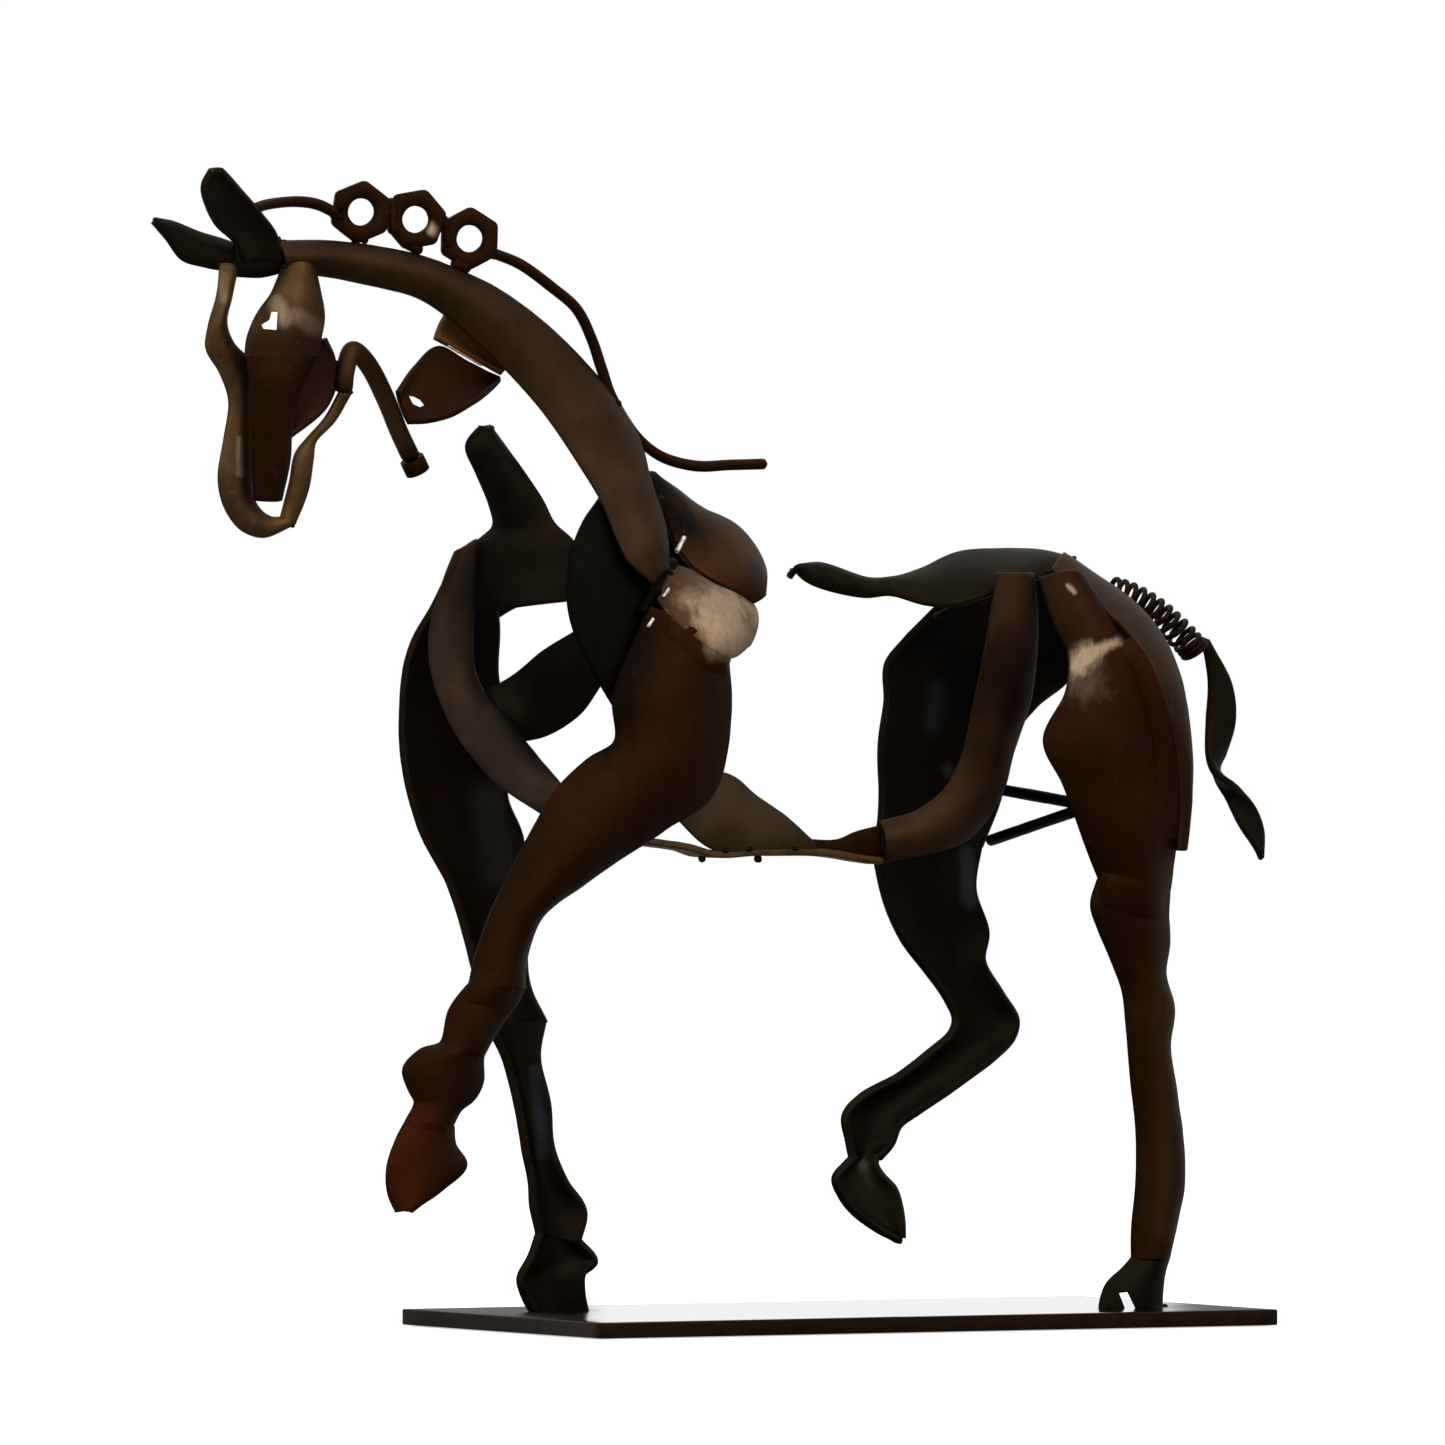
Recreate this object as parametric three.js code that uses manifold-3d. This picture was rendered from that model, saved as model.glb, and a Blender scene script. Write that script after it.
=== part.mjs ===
// Openwork horse at a trot, welded from formed steel plate, round rod, three hex nuts and a coil spring, on a
// flat steel base. Millimetres, +Z up, origin at the middle of the base's underside. The head points along -X
// and the horse's left side, the near side, faces -Y.

import * as THREE from 'three';
import { mergeVertices } from 'three/addons/utils/BufferGeometryUtils.js';
import Module from 'manifold-3d';

const wasm = await Module();
wasm.setup();

// Base
const baseLength = 145;
const baseWidth = 80;
const baseThickness = 3;

// Figure, from the base's upper face to the tip of the upright ear
const figureHeight = 214;

// Stock that the figure is welded from
const plateThickness = 1.4;
const legThickness = 1.7;
const maneRodDiameter = 2.1;
const braceDiameter = 2.2;
const throatRodDiameter = 3.6;
const throatHeadFlats = 4.7;
const throatHeadLength = 3;
const nutFlats = 10.5;
const nutBore = 5.4;
const nutThickness = 3;
const nutSwing = THREE.MathUtils.degToRad(20);
const springDiameter = 6;
const springWire = 1;
const springTurns = 13;
const bellyStripWidth = 5;

// Every seam is a weld that keeps this much room between the two pieces
const seam = 0.3;

// Slivers thinner than this that a cut leaves are closed up
const finestDetail = 0.02;

// Layout drawing. It shows the horse from its left front, lookRound off its side and lookDown above it, on
// squared paper. A point is [across, up, beside] in squares: up counts from the base's upper face, and
// beside is the distance from the horse's middle plane, negative on the near side.
const squaresHigh = 113.4;
const square = figureHeight / squaresHigh;
const lookRound = THREE.MathUtils.degToRad(28);
const lookDown = THREE.MathUtils.degToRad(1.5);

function spot([across, up, beside = 0]) {
  const x = (across + beside * Math.sin(lookRound)) / Math.cos(lookRound);
  const depth = x * Math.sin(lookRound) + beside * Math.cos(lookRound);
  const z = (up - depth * Math.sin(lookDown)) / Math.cos(lookDown);
  return new THREE.Vector3(x, beside, z).multiplyScalar(square).add(new THREE.Vector3(0, 0, baseThickness));
}

// Solids

function solidOf(geometry) {
  geometry.deleteAttribute('normal');
  geometry.deleteAttribute('uv');
  const merged = mergeVertices(geometry, 1e-4);
  const mesh = new wasm.Mesh({
    numProp: 3,
    vertProperties: new Float32Array(merged.attributes.position.array),
    triVerts: new Uint32Array(merged.index.array),
  });
  const solid = new wasm.Manifold(mesh);
  return solid.volume() < 0 ? new wasm.Manifold(flipped(mesh)) : solid;
}

function flipped(mesh) {
  const triVerts = mesh.triVerts.slice().reverse();
  return new wasm.Mesh({ numProp: 3, vertProperties: mesh.vertProperties, triVerts });
}

function geometryOf(solid) {
  const mesh = solid.getMesh();
  const geometry = new THREE.BufferGeometry();
  geometry.setAttribute('position', new THREE.BufferAttribute(mesh.vertProperties, 3));
  geometry.setIndex(new THREE.BufferAttribute(mesh.triVerts, 1));
  geometry.computeVertexNormals();
  return geometry;
}

// A formed plate between two edges, each a smooth curve through as many points as the other. It bulges by
// crown, in squares, towards the near side, or away from it where crown is negative. grow makes it larger
// all round.
function plate(front, back, { crown = 0.8, thickness = plateThickness, strips = 3, steps = 2 } = {}) {
  return (grow) => {
    const edges = [front, back].map((edge) => new THREE.CatmullRomCurve3(edge.map(spot)));
    const stations = steps * (front.length - 1);
    const lines = crossLines(edges, stations, grow);
    const side = bulgeSide(lines);
    const bulge = side * crown * square;
    const rows = lines.map((line, i) => crownedRow(line, alongAt(lines, i), bulge, strips, grow));
    return solidOf(shell(rows, thickness / 2 + grow));
  };
}

// The straight lines from one edge to the other, with one more at each end where the plate is grown
function crossLines(edges, stations, grow) {
  const lines = [];
  for (let i = 0; i <= stations; i += 1) {
    lines.push(edges.map((edge) => edge.getPoint(i / stations)));
  }
  if (grow > 0) {
    for (const [end, next] of [[0, 1], [stations, stations - 1]]) {
      const outward = middleOf(lines[end]).sub(middleOf(lines[next])).setLength(grow);
      lines[end].forEach((point) => point.add(outward));
    }
  }
  return lines;
}

function middleOf([start, end]) {
  return start.clone().add(end).multiplyScalar(0.5);
}

function alongAt(lines, i) {
  const before = lines[Math.max(i - 1, 0)];
  const after = lines[Math.min(i + 1, lines.length - 1)];
  return middleOf(after).sub(middleOf(before)).normalize();
}

// 1 where the cross product of a plate's length and width points to the near side, -1 where it points away
function bulgeSide(lines) {
  const sum = new THREE.Vector3();
  lines.forEach(([start, end], i) => sum.add(alongAt(lines, i).cross(end.clone().sub(start))));
  return sum.y < 0 ? 1 : -1;
}

function crownedRow([start, end], along, crown, strips, grow) {
  const across = end.clone().sub(start);
  const width = across.length();
  const normal = along.cross(across).normalize();
  const row = [];
  for (let j = 0; j <= strips; j += 1) {
    const share = (j / strips) * (1 + (2 * grow) / width) - grow / width;
    const bulge = crown * 4 * share * (1 - share);
    row.push(start.clone().addScaledVector(across, share).addScaledVector(normal, bulge));
  }
  return row;
}

// A closed skin at the same distance on both sides of a grid of points
function shell(rows, offset) {
  const top = rows.length - 1;
  const right = rows[0].length - 1;
  const positions = [];
  for (const side of [1, -1]) {
    rows.forEach((row, i) => {
      row.forEach((point, j) => {
        const along = rows[Math.min(i + 1, top)][j].clone().sub(rows[Math.max(i - 1, 0)][j]);
        const across = row[Math.min(j + 1, right)].clone().sub(row[Math.max(j - 1, 0)]);
        const normal = along.cross(across).normalize();
        positions.push(...point.clone().addScaledVector(normal, side * offset).toArray());
      });
    });
  }
  const index = [];
  const corner = (side, i, j) => (side * (top + 1) + i) * (right + 1) + j;
  const quad = (a, b, c, d) => index.push(a, b, c, a, c, d);
  for (let i = 0; i < top; i += 1) {
    for (let j = 0; j < right; j += 1) {
      quad(corner(0, i, j), corner(0, i + 1, j), corner(0, i + 1, j + 1), corner(0, i, j + 1));
      quad(corner(1, i, j), corner(1, i, j + 1), corner(1, i + 1, j + 1), corner(1, i + 1, j));
    }
    quad(corner(0, i, 0), corner(1, i, 0), corner(1, i + 1, 0), corner(0, i + 1, 0));
    quad(corner(0, i + 1, right), corner(1, i + 1, right), corner(1, i, right), corner(0, i, right));
  }
  for (let j = 0; j < right; j += 1) {
    quad(corner(0, 0, j + 1), corner(1, 0, j + 1), corner(1, 0, j), corner(0, 0, j));
    quad(corner(0, top, j), corner(1, top, j), corner(1, top, j + 1), corner(0, top, j + 1));
  }
  const geometry = new THREE.BufferGeometry();
  geometry.setAttribute('position', new THREE.Float32BufferAttribute(positions, 3));
  geometry.setIndex(index);
  return geometry;
}

// A bar of any section that follows a smooth route
function bar(route, section, stepsPerSpan = 2) {
  return (grow) => {
    const points = route.map(spot);
    const last = points.length - 1;
    points[0].add(points[0].clone().sub(points[1]).setLength(grow));
    points[last].add(points[last].clone().sub(points[last - 1]).setLength(grow));
    const extrudePath = new THREE.CatmullRomCurve3(points);
    const steps = stepsPerSpan * last;
    return solidOf(new THREE.ExtrudeGeometry(section(grow), { extrudePath, steps, bevelEnabled: false }));
  };
}

function polygon(radius, sides, turn = 0) {
  const points = [];
  for (let i = 0; i < sides; i += 1) {
    const angle = turn + (i / sides) * 2 * Math.PI;
    points.push(new THREE.Vector2(radius * Math.cos(angle), radius * Math.sin(angle)));
  }
  return points;
}

const roundSection = (diameter, sides = 6) => (grow) => new THREE.Shape(polygon(diameter / 2 + grow, sides));

// ExtrudeGeometry lays a section's x along the path's normal and its y along the binormal
const flatSection = (width, thickness) => (grow) => {
  const x = thickness / 2 + grow;
  const y = width / 2 + grow;
  return new THREE.Shape([[-x, -y], [x, -y], [x, y], [-x, y]].map(([a, b]) => new THREE.Vector2(a, b)));
};

// The helix of a coil spring round a route
class Helix extends THREE.Curve {
  constructor(axis, radius, turns) {
    super();
    Object.assign(this, { axis, radius, turns });
  }

  getPoint(share) {
    const angle = share * this.turns * 2 * Math.PI;
    const side = new THREE.Vector3(0, 1, 0);
    const normal = side.clone().cross(this.axis.getTangent(share)).normalize();
    return this.axis.getPoint(share)
      .addScaledVector(side, this.radius * Math.cos(angle))
      .addScaledVector(normal, this.radius * Math.sin(angle));
  }
}

function spring(route, diameter, wire, turns, stepsPerTurn = 7) {
  return (grow) => {
    const axis = new THREE.CatmullRomCurve3(route.map(spot));
    const extrudePath = new Helix(axis, (diameter - wire) / 2, turns);
    const section = new THREE.Shape(polygon(wire / 2 + grow, 4));
    const steps = turns * stepsPerTurn;
    return solidOf(new THREE.ExtrudeGeometry(section, { extrudePath, steps, bevelEnabled: false }));
  };
}

// A box on the middle of the base's underside
function box(length, width, height) {
  return (grow) => {
    const geometry = new THREE.BoxGeometry(length + 2 * grow, width + 2 * grow, height + 2 * grow);
    return solidOf(geometry.translate(0, 0, height / 2));
  };
}

// A prism through the whole figure, square to the drawing's view, for an opening cut by its outline
function cutter(outline) {
  const shape = new THREE.Shape(outline.map((point) => new THREE.Vector2(...point).multiplyScalar(square)));
  const depth = 2 * figureHeight;
  const geometry = new THREE.ExtrudeGeometry(shape, { depth, bevelEnabled: false });
  geometry.translate(0, 0, -depth / 2);
  geometry.rotateX(Math.PI / 2 - lookDown);
  geometry.rotateZ(-lookRound);
  return solidOf(geometry.translate(0, 0, baseThickness));
}

const pierced = (make, outline) => (grow) => (grow > 0 ? make(grow) : make(grow).subtract(cutter(outline)));

// Finishes: colour, roughness and metalness
const finishes = {
  dark: [0x15130e, 0.5, 0.8],
  brown: [0x3a2312, 0.45, 0.8],
  olive: [0x453726, 0.4, 0.8],
  tan: [0x6b5434, 0.4, 0.8],
  bright: [0xc8b493, 0.3, 0.9],
  base: [0x1c1510, 0.4, 0.8],
};

// Assembly. A piece is cut back to a seam wherever it meets one that is already in place. Where only its
// outer form matters to the others, such as a coil, roughly gives that form.
const horse = new THREE.Group();
const welded = [];

function weld(name, finish, make, roughly = make) {
  const solid = trimmed(make(0));
  const [color, roughness, metalness] = finishes[finish];
  const material = new THREE.MeshStandardMaterial({ color, roughness, metalness });
  const mesh = new THREE.Mesh(geometryOf(solid), material);
  mesh.name = name;
  horse.add(mesh);
  welded.push(trimmed(roughly(seam)));
}

function trimmed(solid) {
  const cut = welded.reduce((rest, other) => (boxesMeet(rest, other) ? rest.subtract(other) : rest), solid);
  const largest = cut.decompose().sort((a, b) => b.volume() - a.volume())[0];
  return largest.simplify(finestDetail);
}

function boxesMeet(one, other) {
  const a = one.boundingBox();
  const b = other.boundingBox();
  return [0, 1, 2].every((axis) => a.min[axis] < b.max[axis] && b.min[axis] < a.max[axis]);
}

// Base plate
weld('base_plate', 'base', box(baseLength, baseWidth, baseThickness));

// Mane: nuts standing on the neck's crest, and the rods before and behind them
function nut(place, turn) {
  return (grow) => {
    const shape = new THREE.Shape(polygon(nutFlats / Math.sqrt(3) + grow, 6, turn));
    shape.holes.push(new THREE.Path(polygon(nutBore / 2 - grow, 12)));
    const depth = nutThickness + 2 * grow;
    const geometry = new THREE.ExtrudeGeometry(shape, { depth, bevelEnabled: false });
    geometry.translate(0, 0, -depth / 2);
    geometry.rotateX(Math.PI / 2);
    geometry.rotateZ(-nutSwing);
    return solidOf(geometry.translate(...spot(place).toArray()));
  };
}

const maneNuts = [
  { place: [-47.8, 109.6], turn: 82 },
  { place: [-42.4, 108.9], turn: 70 },
  { place: [-37, 107], turn: 88 },
];
maneNuts.forEach(({ place, turn }, i) => {
  weld(`mane_nut_${i + 1}`, 'brown', nut(place, THREE.MathUtils.degToRad(turn)));
});

weld('mane_rod_front', 'brown', bar(
  [[-58.2, 109.9, -2], [-57, 110.3, -1], [-54, 110.6], [-52, 110.3], [-50.2, 109.4]],
  roundSection(maneRodDiameter),
));

weld('mane_rod_rear', 'brown', bar(
  [[-34.7, 105.6], [-32, 104.5], [-28.8, 102.2], [-26.3, 100], [-24.8, 97], [-23.8, 94], [-22.8, 91.2],
    [-20.4, 87.4], [-18, 85.4], [-14.5, 84.4], [-11, 84.5], [-7.6, 84.6]],
  roundSection(maneRodDiameter),
));

// Neck
weld('neck_band', 'olive', plate(
  [[-56.2, 106.5], [-51.5, 106.6], [-43.8, 105.6], [-40, 104.5], [-33.5, 101.5], [-26.5, 95.6],
    [-21.8, 89.8], [-20, 86.2, -1], [-19.2, 83, -3], [-17.6, 78, -6], [-17.4, 73.9, -8.8]],
  [[-55.3, 103.4], [-51.8, 103.3], [-44.8, 101.9], [-41.8, 100.9], [-36.2, 96.6, -0.5], [-30.3, 90.4, -1.5],
    [-25.8, 84, -3.5], [-24, 81, -4.5], [-22.7, 77.8, -6.5], [-21.2, 74.8, -8.4], [-18.8, 72.6, -9.5]],
  { crown: 1.25, strips: 4, steps: 1 },
));

// Head
weld('poll_plate', 'dark', plate(
  [[-60.2, 106.4, 1], [-57.8, 106.7, 0.5], [-55.5, 106.7, 0]],
  [[-60, 103.2, 1], [-57.8, 103.1, 0.5], [-55.3, 103.7, 0]],
  { crown: 0.55 },
));

weld('ear_near', 'dark', plate(
  [[-59, 104.8, -1.2], [-60.4, 106.7, -1.6], [-62.1, 108.2, -2.2], [-63.1, 110.2, -3], [-63.4, 112, -3.6],
    [-62.6, 113.3, -4]],
  [[-55.6, 104.8, -1.2], [-56, 107.2, -1.6], [-57.4, 109.2, -2.2], [-59, 111.1, -3], [-60.4, 112.6, -3.6],
    [-61.3, 113.4, -4]],
  { crown: -0.75, strips: 2 },
));

weld('ear_far', 'dark', plate(
  [[-68.2, 108.8, 4], [-66.5, 108.5, 3.6], [-64, 107.5, 3], [-61.5, 106.7, 2.2], [-59, 105.8, 1.4]],
  [[-68.4, 108.3, 4], [-67.2, 106.9, 3.6], [-65.6, 104.8, 3], [-63.3, 104.1, 2.2], [-60, 103.7, 1.4]],
  { crown: 0.75, strips: 2 },
));

const eyeOpening = [[-56.6, 99.7], [-56, 99.7], [-56.1, 97.9], [-57.4, 98], [-57.6, 98.4], [-56.8, 98.9]];
weld('face_plate', 'tan', pierced(plate(
  [[-55.6, 103.8, -0.6], [-56.7, 101.2, -2.2], [-58.3, 99, -3], [-59.1, 97, -3.2], [-59.3, 95.4, -3.2]],
  [[-52.5, 103.8, -0.9], [-51.9, 101.2, -2.2], [-51.5, 99, -3], [-51.8, 97, -3.2], [-52.2, 95.4, -3.2]],
  { crown: 1.15, strips: 4 },
), eyeOpening));

weld('muzzle_plate', 'brown', plate(
  [[-59.2, 95.2, -3.2], [-58.8, 92.5, -3], [-58.6, 89, -2.5], [-58.6, 85, -2], [-58.3, 81.1, -1.6]],
  [[-52.2, 95.2, -3.2], [-53.7, 92.5, -3], [-54.7, 88.5, -2.5], [-55, 84.8, -2], [-55.8, 81.1, -1.6]],
  { crown: 1.05, strips: 4 },
));

weld('nose_strap', 'tan', plate(
  [[-61.8, 104.2, 1], [-62.1, 101, 0.5], [-62.9, 98.2], [-63.2, 96], [-61.8, 93.5], [-60.9, 90.8],
    [-61.4, 87],
    [-62, 83], [-61.4, 80.2], [-59.8, 78], [-57.7, 77.3], [-55.1, 78.3]],
  [[-60.1, 104, 1], [-60.8, 101.1, 0.5], [-61.3, 98.5], [-60.4, 96.3], [-59, 94.8, -0.4], [-58.6, 91.5, -0.4],
    [-58.6, 87.5, -0.2], [-58.7, 84], [-58.6, 81.2], [-57.8, 79.8], [-56.7, 79.1], [-55.3, 79.2]],
  { crown: 0.5, strips: 2 },
));

weld('jaw_bar', 'tan', plate(
  [[-54.4, 78.7], [-53.2, 81.6], [-52.7, 84.8], [-52.3, 87], [-50.4, 89, -0.7], [-49, 91.4, -1.4]],
  [[-55.9, 78.8], [-54.9, 82.8], [-54.4, 85.4], [-53.2, 87], [-51.4, 89.1, -0.7], [-50, 91.6, -1.4]],
  { crown: 0.4, strips: 2 },
));

weld('jowl_plate', 'dark', plate(
  [[-52.4, 96.5, -1.6], [-53.6, 94.8, -1.4], [-54.4, 92.5, -1.2], [-54.8, 90, -1], [-55, 87.5, -0.8]],
  [[-51.1, 96.7, -1.6], [-50.3, 95.1, -1.4], [-50.1, 92.6, -1.2], [-51.1, 90.1, -1], [-54.5, 87.4, -0.8]],
  { crown: -0.55 },
));

// Throat
const throatRoute = [[-49.5, 91.8, -1.6], [-49.3, 93.8, -1.6], [-48.6, 95.8, -1.3], [-47.2, 94.6, -1],
  [-45.4, 91.2, -0.6], [-44.1, 88, -0.4], [-42.8, 85.2, -0.2]];
weld('throat_rod', 'brown', bar(throatRoute, roundSection(throatRodDiameter, 8)));

function rodHead(grow) {
  const [before, end] = throatRoute.slice(-2).map(spot);
  const direction = end.clone().sub(before).normalize();
  const start = end.clone().addScaledVector(direction, seam - grow);
  const finish = start.clone().addScaledVector(direction, throatHeadLength + 2 * grow);
  const section = new THREE.Shape(polygon(throatHeadFlats / Math.sqrt(3) + grow, 6));
  const extrudePath = new THREE.LineCurve3(start, finish);
  return solidOf(new THREE.ExtrudeGeometry(section, { extrudePath, steps: 1, bevelEnabled: false }));
}
weld('throat_rod_head', 'brown', rodHead);

weld('throat_flange', 'olive', plate(
  [[-38.8, 100, 1.2], [-36, 97.8, 1.2], [-32.8, 94.6, 1.2]],
  [[-40.3, 96.9, 1.2], [-37.2, 95.3, 1.2], [-34, 93.6, 1.2]],
  { crown: -0.4 },
));

const leafOpening = [[-43, 91.3], [-42.5, 91.2], [-41.9, 90.9], [-41.5, 90.4], [-41.9, 90.2], [-42.6, 90.5]];
weld('throat_leaf', 'brown', pierced(plate(
  [[-44, 91.9, 0], [-42.4, 94.4, 0.8], [-40.2, 96.3, 1.2], [-37.2, 94.8, 1.2], [-34.1, 93.3, 1.2]],
  [[-42.9, 88.6, -1.5], [-41, 88.7, -2.4], [-38.8, 89.3, -2.8], [-36.2, 90.9, -2], [-34, 92.9, 0.9]],
  { crown: -0.8 },
), leafOpening));

// Withers
weld('withers_plate', 'olive', plate(
  [[-19.4, 83.4], [-16.9, 82.2], [-14, 80.1], [-10.7, 78.5], [-8.6, 76.3, -0.5], [-7.6, 73.7, -2],
    [-8.4, 71.5, -4]],
  [[-19.2, 82, -1.5], [-17.5, 78.5, -3.6], [-16.3, 76, -5], [-14.8, 74.2, -6.5], [-12.8, 72.8, -7.3],
    [-10.5, 71.7, -7], [-9, 70.8, -6]],
  { crown: 1.05, strips: 4 },
));

weld('withers_lower_plate', 'bright', plate(
  [[-17, 74.4, -6.6], [-15, 73.8, -7.4], [-12.8, 72.5, -7.9], [-10.4, 71.4, -7.6], [-8.9, 70.4, -6.6]],
  [[-18.4, 71, -9.4], [-16.4, 68.4, -11.2], [-13.8, 66.4, -12], [-11.4, 65.1, -12], [-9.3, 66.4, -9.6]],
  { crown: 0.85 },
));

// Forelegs
weld('near_forearm', 'brown', plate(
  [[-19.2, 70.2, -9.4], [-22.7, 61.4, -10.5], [-22.6, 56.8, -11], [-25.5, 54.8, -11], [-28.4, 52, -11],
    [-30.5, 48.5, -11], [-32.7, 44.2, -10.8], [-34.8, 39.8, -10.5], [-36.4, 35.3, -10], [-36.9, 33, -10]],
  [[-11.4, 64.2, -9], [-11.1, 61, -10.3], [-11.5, 55.8, -11], [-13, 51.5, -11], [-17.5, 48.3, -11],
    [-21.5, 45.7, -11], [-26, 42.6, -10.8], [-30, 39.5, -10.5], [-31.5, 35.5, -10], [-31.7, 32.5, -10]],
  { crown: 2.35, thickness: legThickness, strips: 4 },
));

weld('near_fore_cannon', 'brown', plate(
  [[-37, 32.7, -10], [-38, 31.6, -10], [-39.1, 29.9, -10], [-39.9, 26.8, -10], [-42, 26, -9.9],
    [-43.6, 24.3, -9.8], [-43.1, 22.5, -9.7], [-42.4, 21, -9.6], [-43.2, 19.3, -9.5]],
  [[-31.7, 32.3, -10], [-32.3, 31, -10], [-33.7, 29.2, -10], [-35.3, 26.7, -10], [-35.8, 25.5, -9.9],
    [-35.8, 23, -9.8], [-36.6, 21.4, -9.7], [-38, 20.3, -9.6], [-38.8, 18.8, -9.5]],
  { crown: 1.6, thickness: legThickness },
));

weld('near_fore_hoof', 'brown', plate(
  [[-43.4, 18.9, -9.5], [-44.3, 17.2, -9.5], [-45.2, 14.5, -9.5], [-45.1, 12, -9.5], [-44.3, 10.3, -9.5]],
  [[-38.7, 18.3, -9.5], [-38.5, 16.7, -9.5], [-37.4, 14.7, -9.5], [-39.6, 12.5, -9.5], [-43, 10.4, -9.5]],
  { crown: 1.4, thickness: legThickness },
));

weld('far_forearm', 'dark', plate(
  [[-38.2, 75.2, 7], [-40.4, 70.7, 9], [-42.8, 66.3, 10], [-43.8, 61, 10.5], [-43.5, 54.5, 10.5],
    [-41.8, 48, 10], [-39.2, 42.8, 9.5], [-37.5, 38, 9], [-36, 32.5, 8.5], [-34.9, 28, 8]],
  [[-35.5, 73.5, 7.5], [-34.1, 69, 9], [-34.1, 63, 10], [-32.5, 57.5, 10.5], [-33.2, 51.5, 10.5],
    [-31.7, 47.5, 10], [-31, 42, 9.5], [-31.3, 37, 9], [-31, 32.5, 8.5], [-29.4, 29, 8]],
  { crown: -2, thickness: legThickness },
));

weld('far_fore_cannon', 'dark', plate(
  [[-34.8, 27.8, 8], [-33.3, 24.6, 8], [-32.3, 20.5, 8], [-31.5, 16, 8], [-30.9, 13, 8], [-30.8, 10.5, 8],
    [-30.2, 7.8, 8]],
  [[-29.4, 28.8, 8], [-30, 25.2, 8], [-29, 20.7, 8], [-28.6, 16.2, 8], [-27.2, 12.8, 8], [-25.3, 9.8, 8],
    [-25.9, 7, 8]],
  { crown: -1.4, thickness: legThickness },
));

weld('far_fore_hoof', 'dark', plate(
  [[-30.2, 7.6, 8], [-31, 5.4, 8], [-32.1, 3.2, 8], [-31.6, 1.2, 8], [-30.4, -0.8, 8]],
  [[-25.9, 6.8, 8], [-24.2, 4.8, 8], [-25.4, 3.6, 8], [-25.5, 1.8, 8], [-25, -0.8, 8]],
  { crown: -1.5, thickness: legThickness },
));

// Shoulders
weld('near_shoulder_plate', 'dark', plate(
  [[-24, 81, -3], [-25.7, 78.8, -4], [-27.1, 75, -5.5], [-27.3, 71, -6.5], [-26.5, 67.5, -7.5],
    [-24.1, 62.7, -8.6], [-22.4, 59.8, -8.9]],
  [[-20.5, 81.5, -3.5], [-18.5, 77, -5.5], [-17.2, 73.5, -7], [-17.3, 70, -8], [-17.3, 66.5, -8.5],
    [-16.5, 62, -9], [-16, 59, -9]],
  { crown: 0.55 },
));

weld('withers_far_plate', 'dark', plate(
  [[-18.2, 82.6, 1], [-15, 80.8, 1], [-11.8, 78.8, 1], [-9.5, 76.2, 1], [-8.3, 72.8, 1]],
  [[-21.5, 79, 6], [-22, 75, 8.5], [-21, 71, 9.5], [-18, 68, 9.5], [-14, 67, 8.5]],
  { crown: -1.05 },
));

weld('far_shoulder_band', 'dark', plate(
  [[-36.5, 75.3, 8.4], [-31, 76.5, 10], [-26, 76.5, 10], [-21.5, 77.5, 8.6]],
  [[-36, 67.8, 8.8], [-32, 70.4, 10.1], [-28, 71.2, 10.2], [-21.8, 72.6, 9.2]],
  { crown: -0.8 },
));

// Chest
weld('chest_plate', 'dark', plate(
  [[-36.1, 88], [-37.4, 86.4], [-36.4, 83.8, 0.5], [-35, 80.5, 1.5], [-34.7, 78.2, 3], [-37, 75.8, 4.6],
    [-37.2, 73, 5.6], [-36.2, 69.8, 6]],
  [[-35.2, 88.1], [-34, 86.7], [-32, 84.2, -0.5], [-29.7, 81, -1.5], [-28.4, 78.6, -2.5], [-26.5, 76.8, -4],
    [-25, 74, -5], [-25.5, 71.3, -6]],
  { crown: 1.05, strips: 4 },
));

weld('front_band', 'tan', plate(
  [[-38.4, 75.5, 4.6], [-39.9, 72, 5.4], [-40.9, 68.5, 5.8], [-41, 65, 5.4], [-40.2, 61.5, 4],
    [-38.5, 57.8, 1.5],
    [-36.2, 54.7, -2], [-33.5, 52, -5.5], [-29.5, 49.5, -8.4]],
  [[-36.3, 76.8, 3], [-36.5, 72, 3.8], [-36.7, 68, 4.2], [-36.6, 64.2, 4], [-35.4, 61.3, 3],
    [-33.2, 58.8, 0.8],
    [-31, 56.2, -2.4], [-29.2, 54, -5.8], [-27.8, 52.4, -8.6]],
  { crown: 0.75, strips: 2 },
));

weld('diagonal_brace', 'dark', plate(
  [[-35, 62, 4.2], [-32.5, 63.5, 2.6], [-29.5, 66, -1.5], [-26, 68, -6.2]],
  [[-32.5, 56.8, 2.6], [-29.5, 57.4, 0.6], [-26, 59.5, -3.4], [-23.6, 62.8, -7.8]],
  { crown: 0.8 },
));

// Croup
weld('croup_leaf', 'olive', plate(
  [[-4.7, 74.1], [-2, 74.6], [2.8, 72.9], [5.3, 73], [8.5, 74.1], [12.2, 75.7], [16, 75.9], [20.1, 75.7],
    [23.2, 74.9]],
  [[-4.6, 74, 0], [-3.2, 72.7, -0.8], [2.2, 71.3, -1], [5, 71.4, -1.5], [8.5, 70.5, -3.5], [11.5, 70.4, -5],
    [15, 71.4, -5.6], [19.5, 73, -5.4], [22.3, 73.2, -4]],
  { crown: 0.8 },
));

// Belly and flank
weld('belly_strip', 'tan', bar(
  [[-20, 46.9, -9.6], [-16, 46.3, -8.1], [-13.9, 45.7, -7], [-8, 45.8, -3.9], [-1.8, 45.7, -1],
    [3.6, 44.9, 0]],
  flatSection(bellyStripWidth, plateThickness),
));

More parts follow.
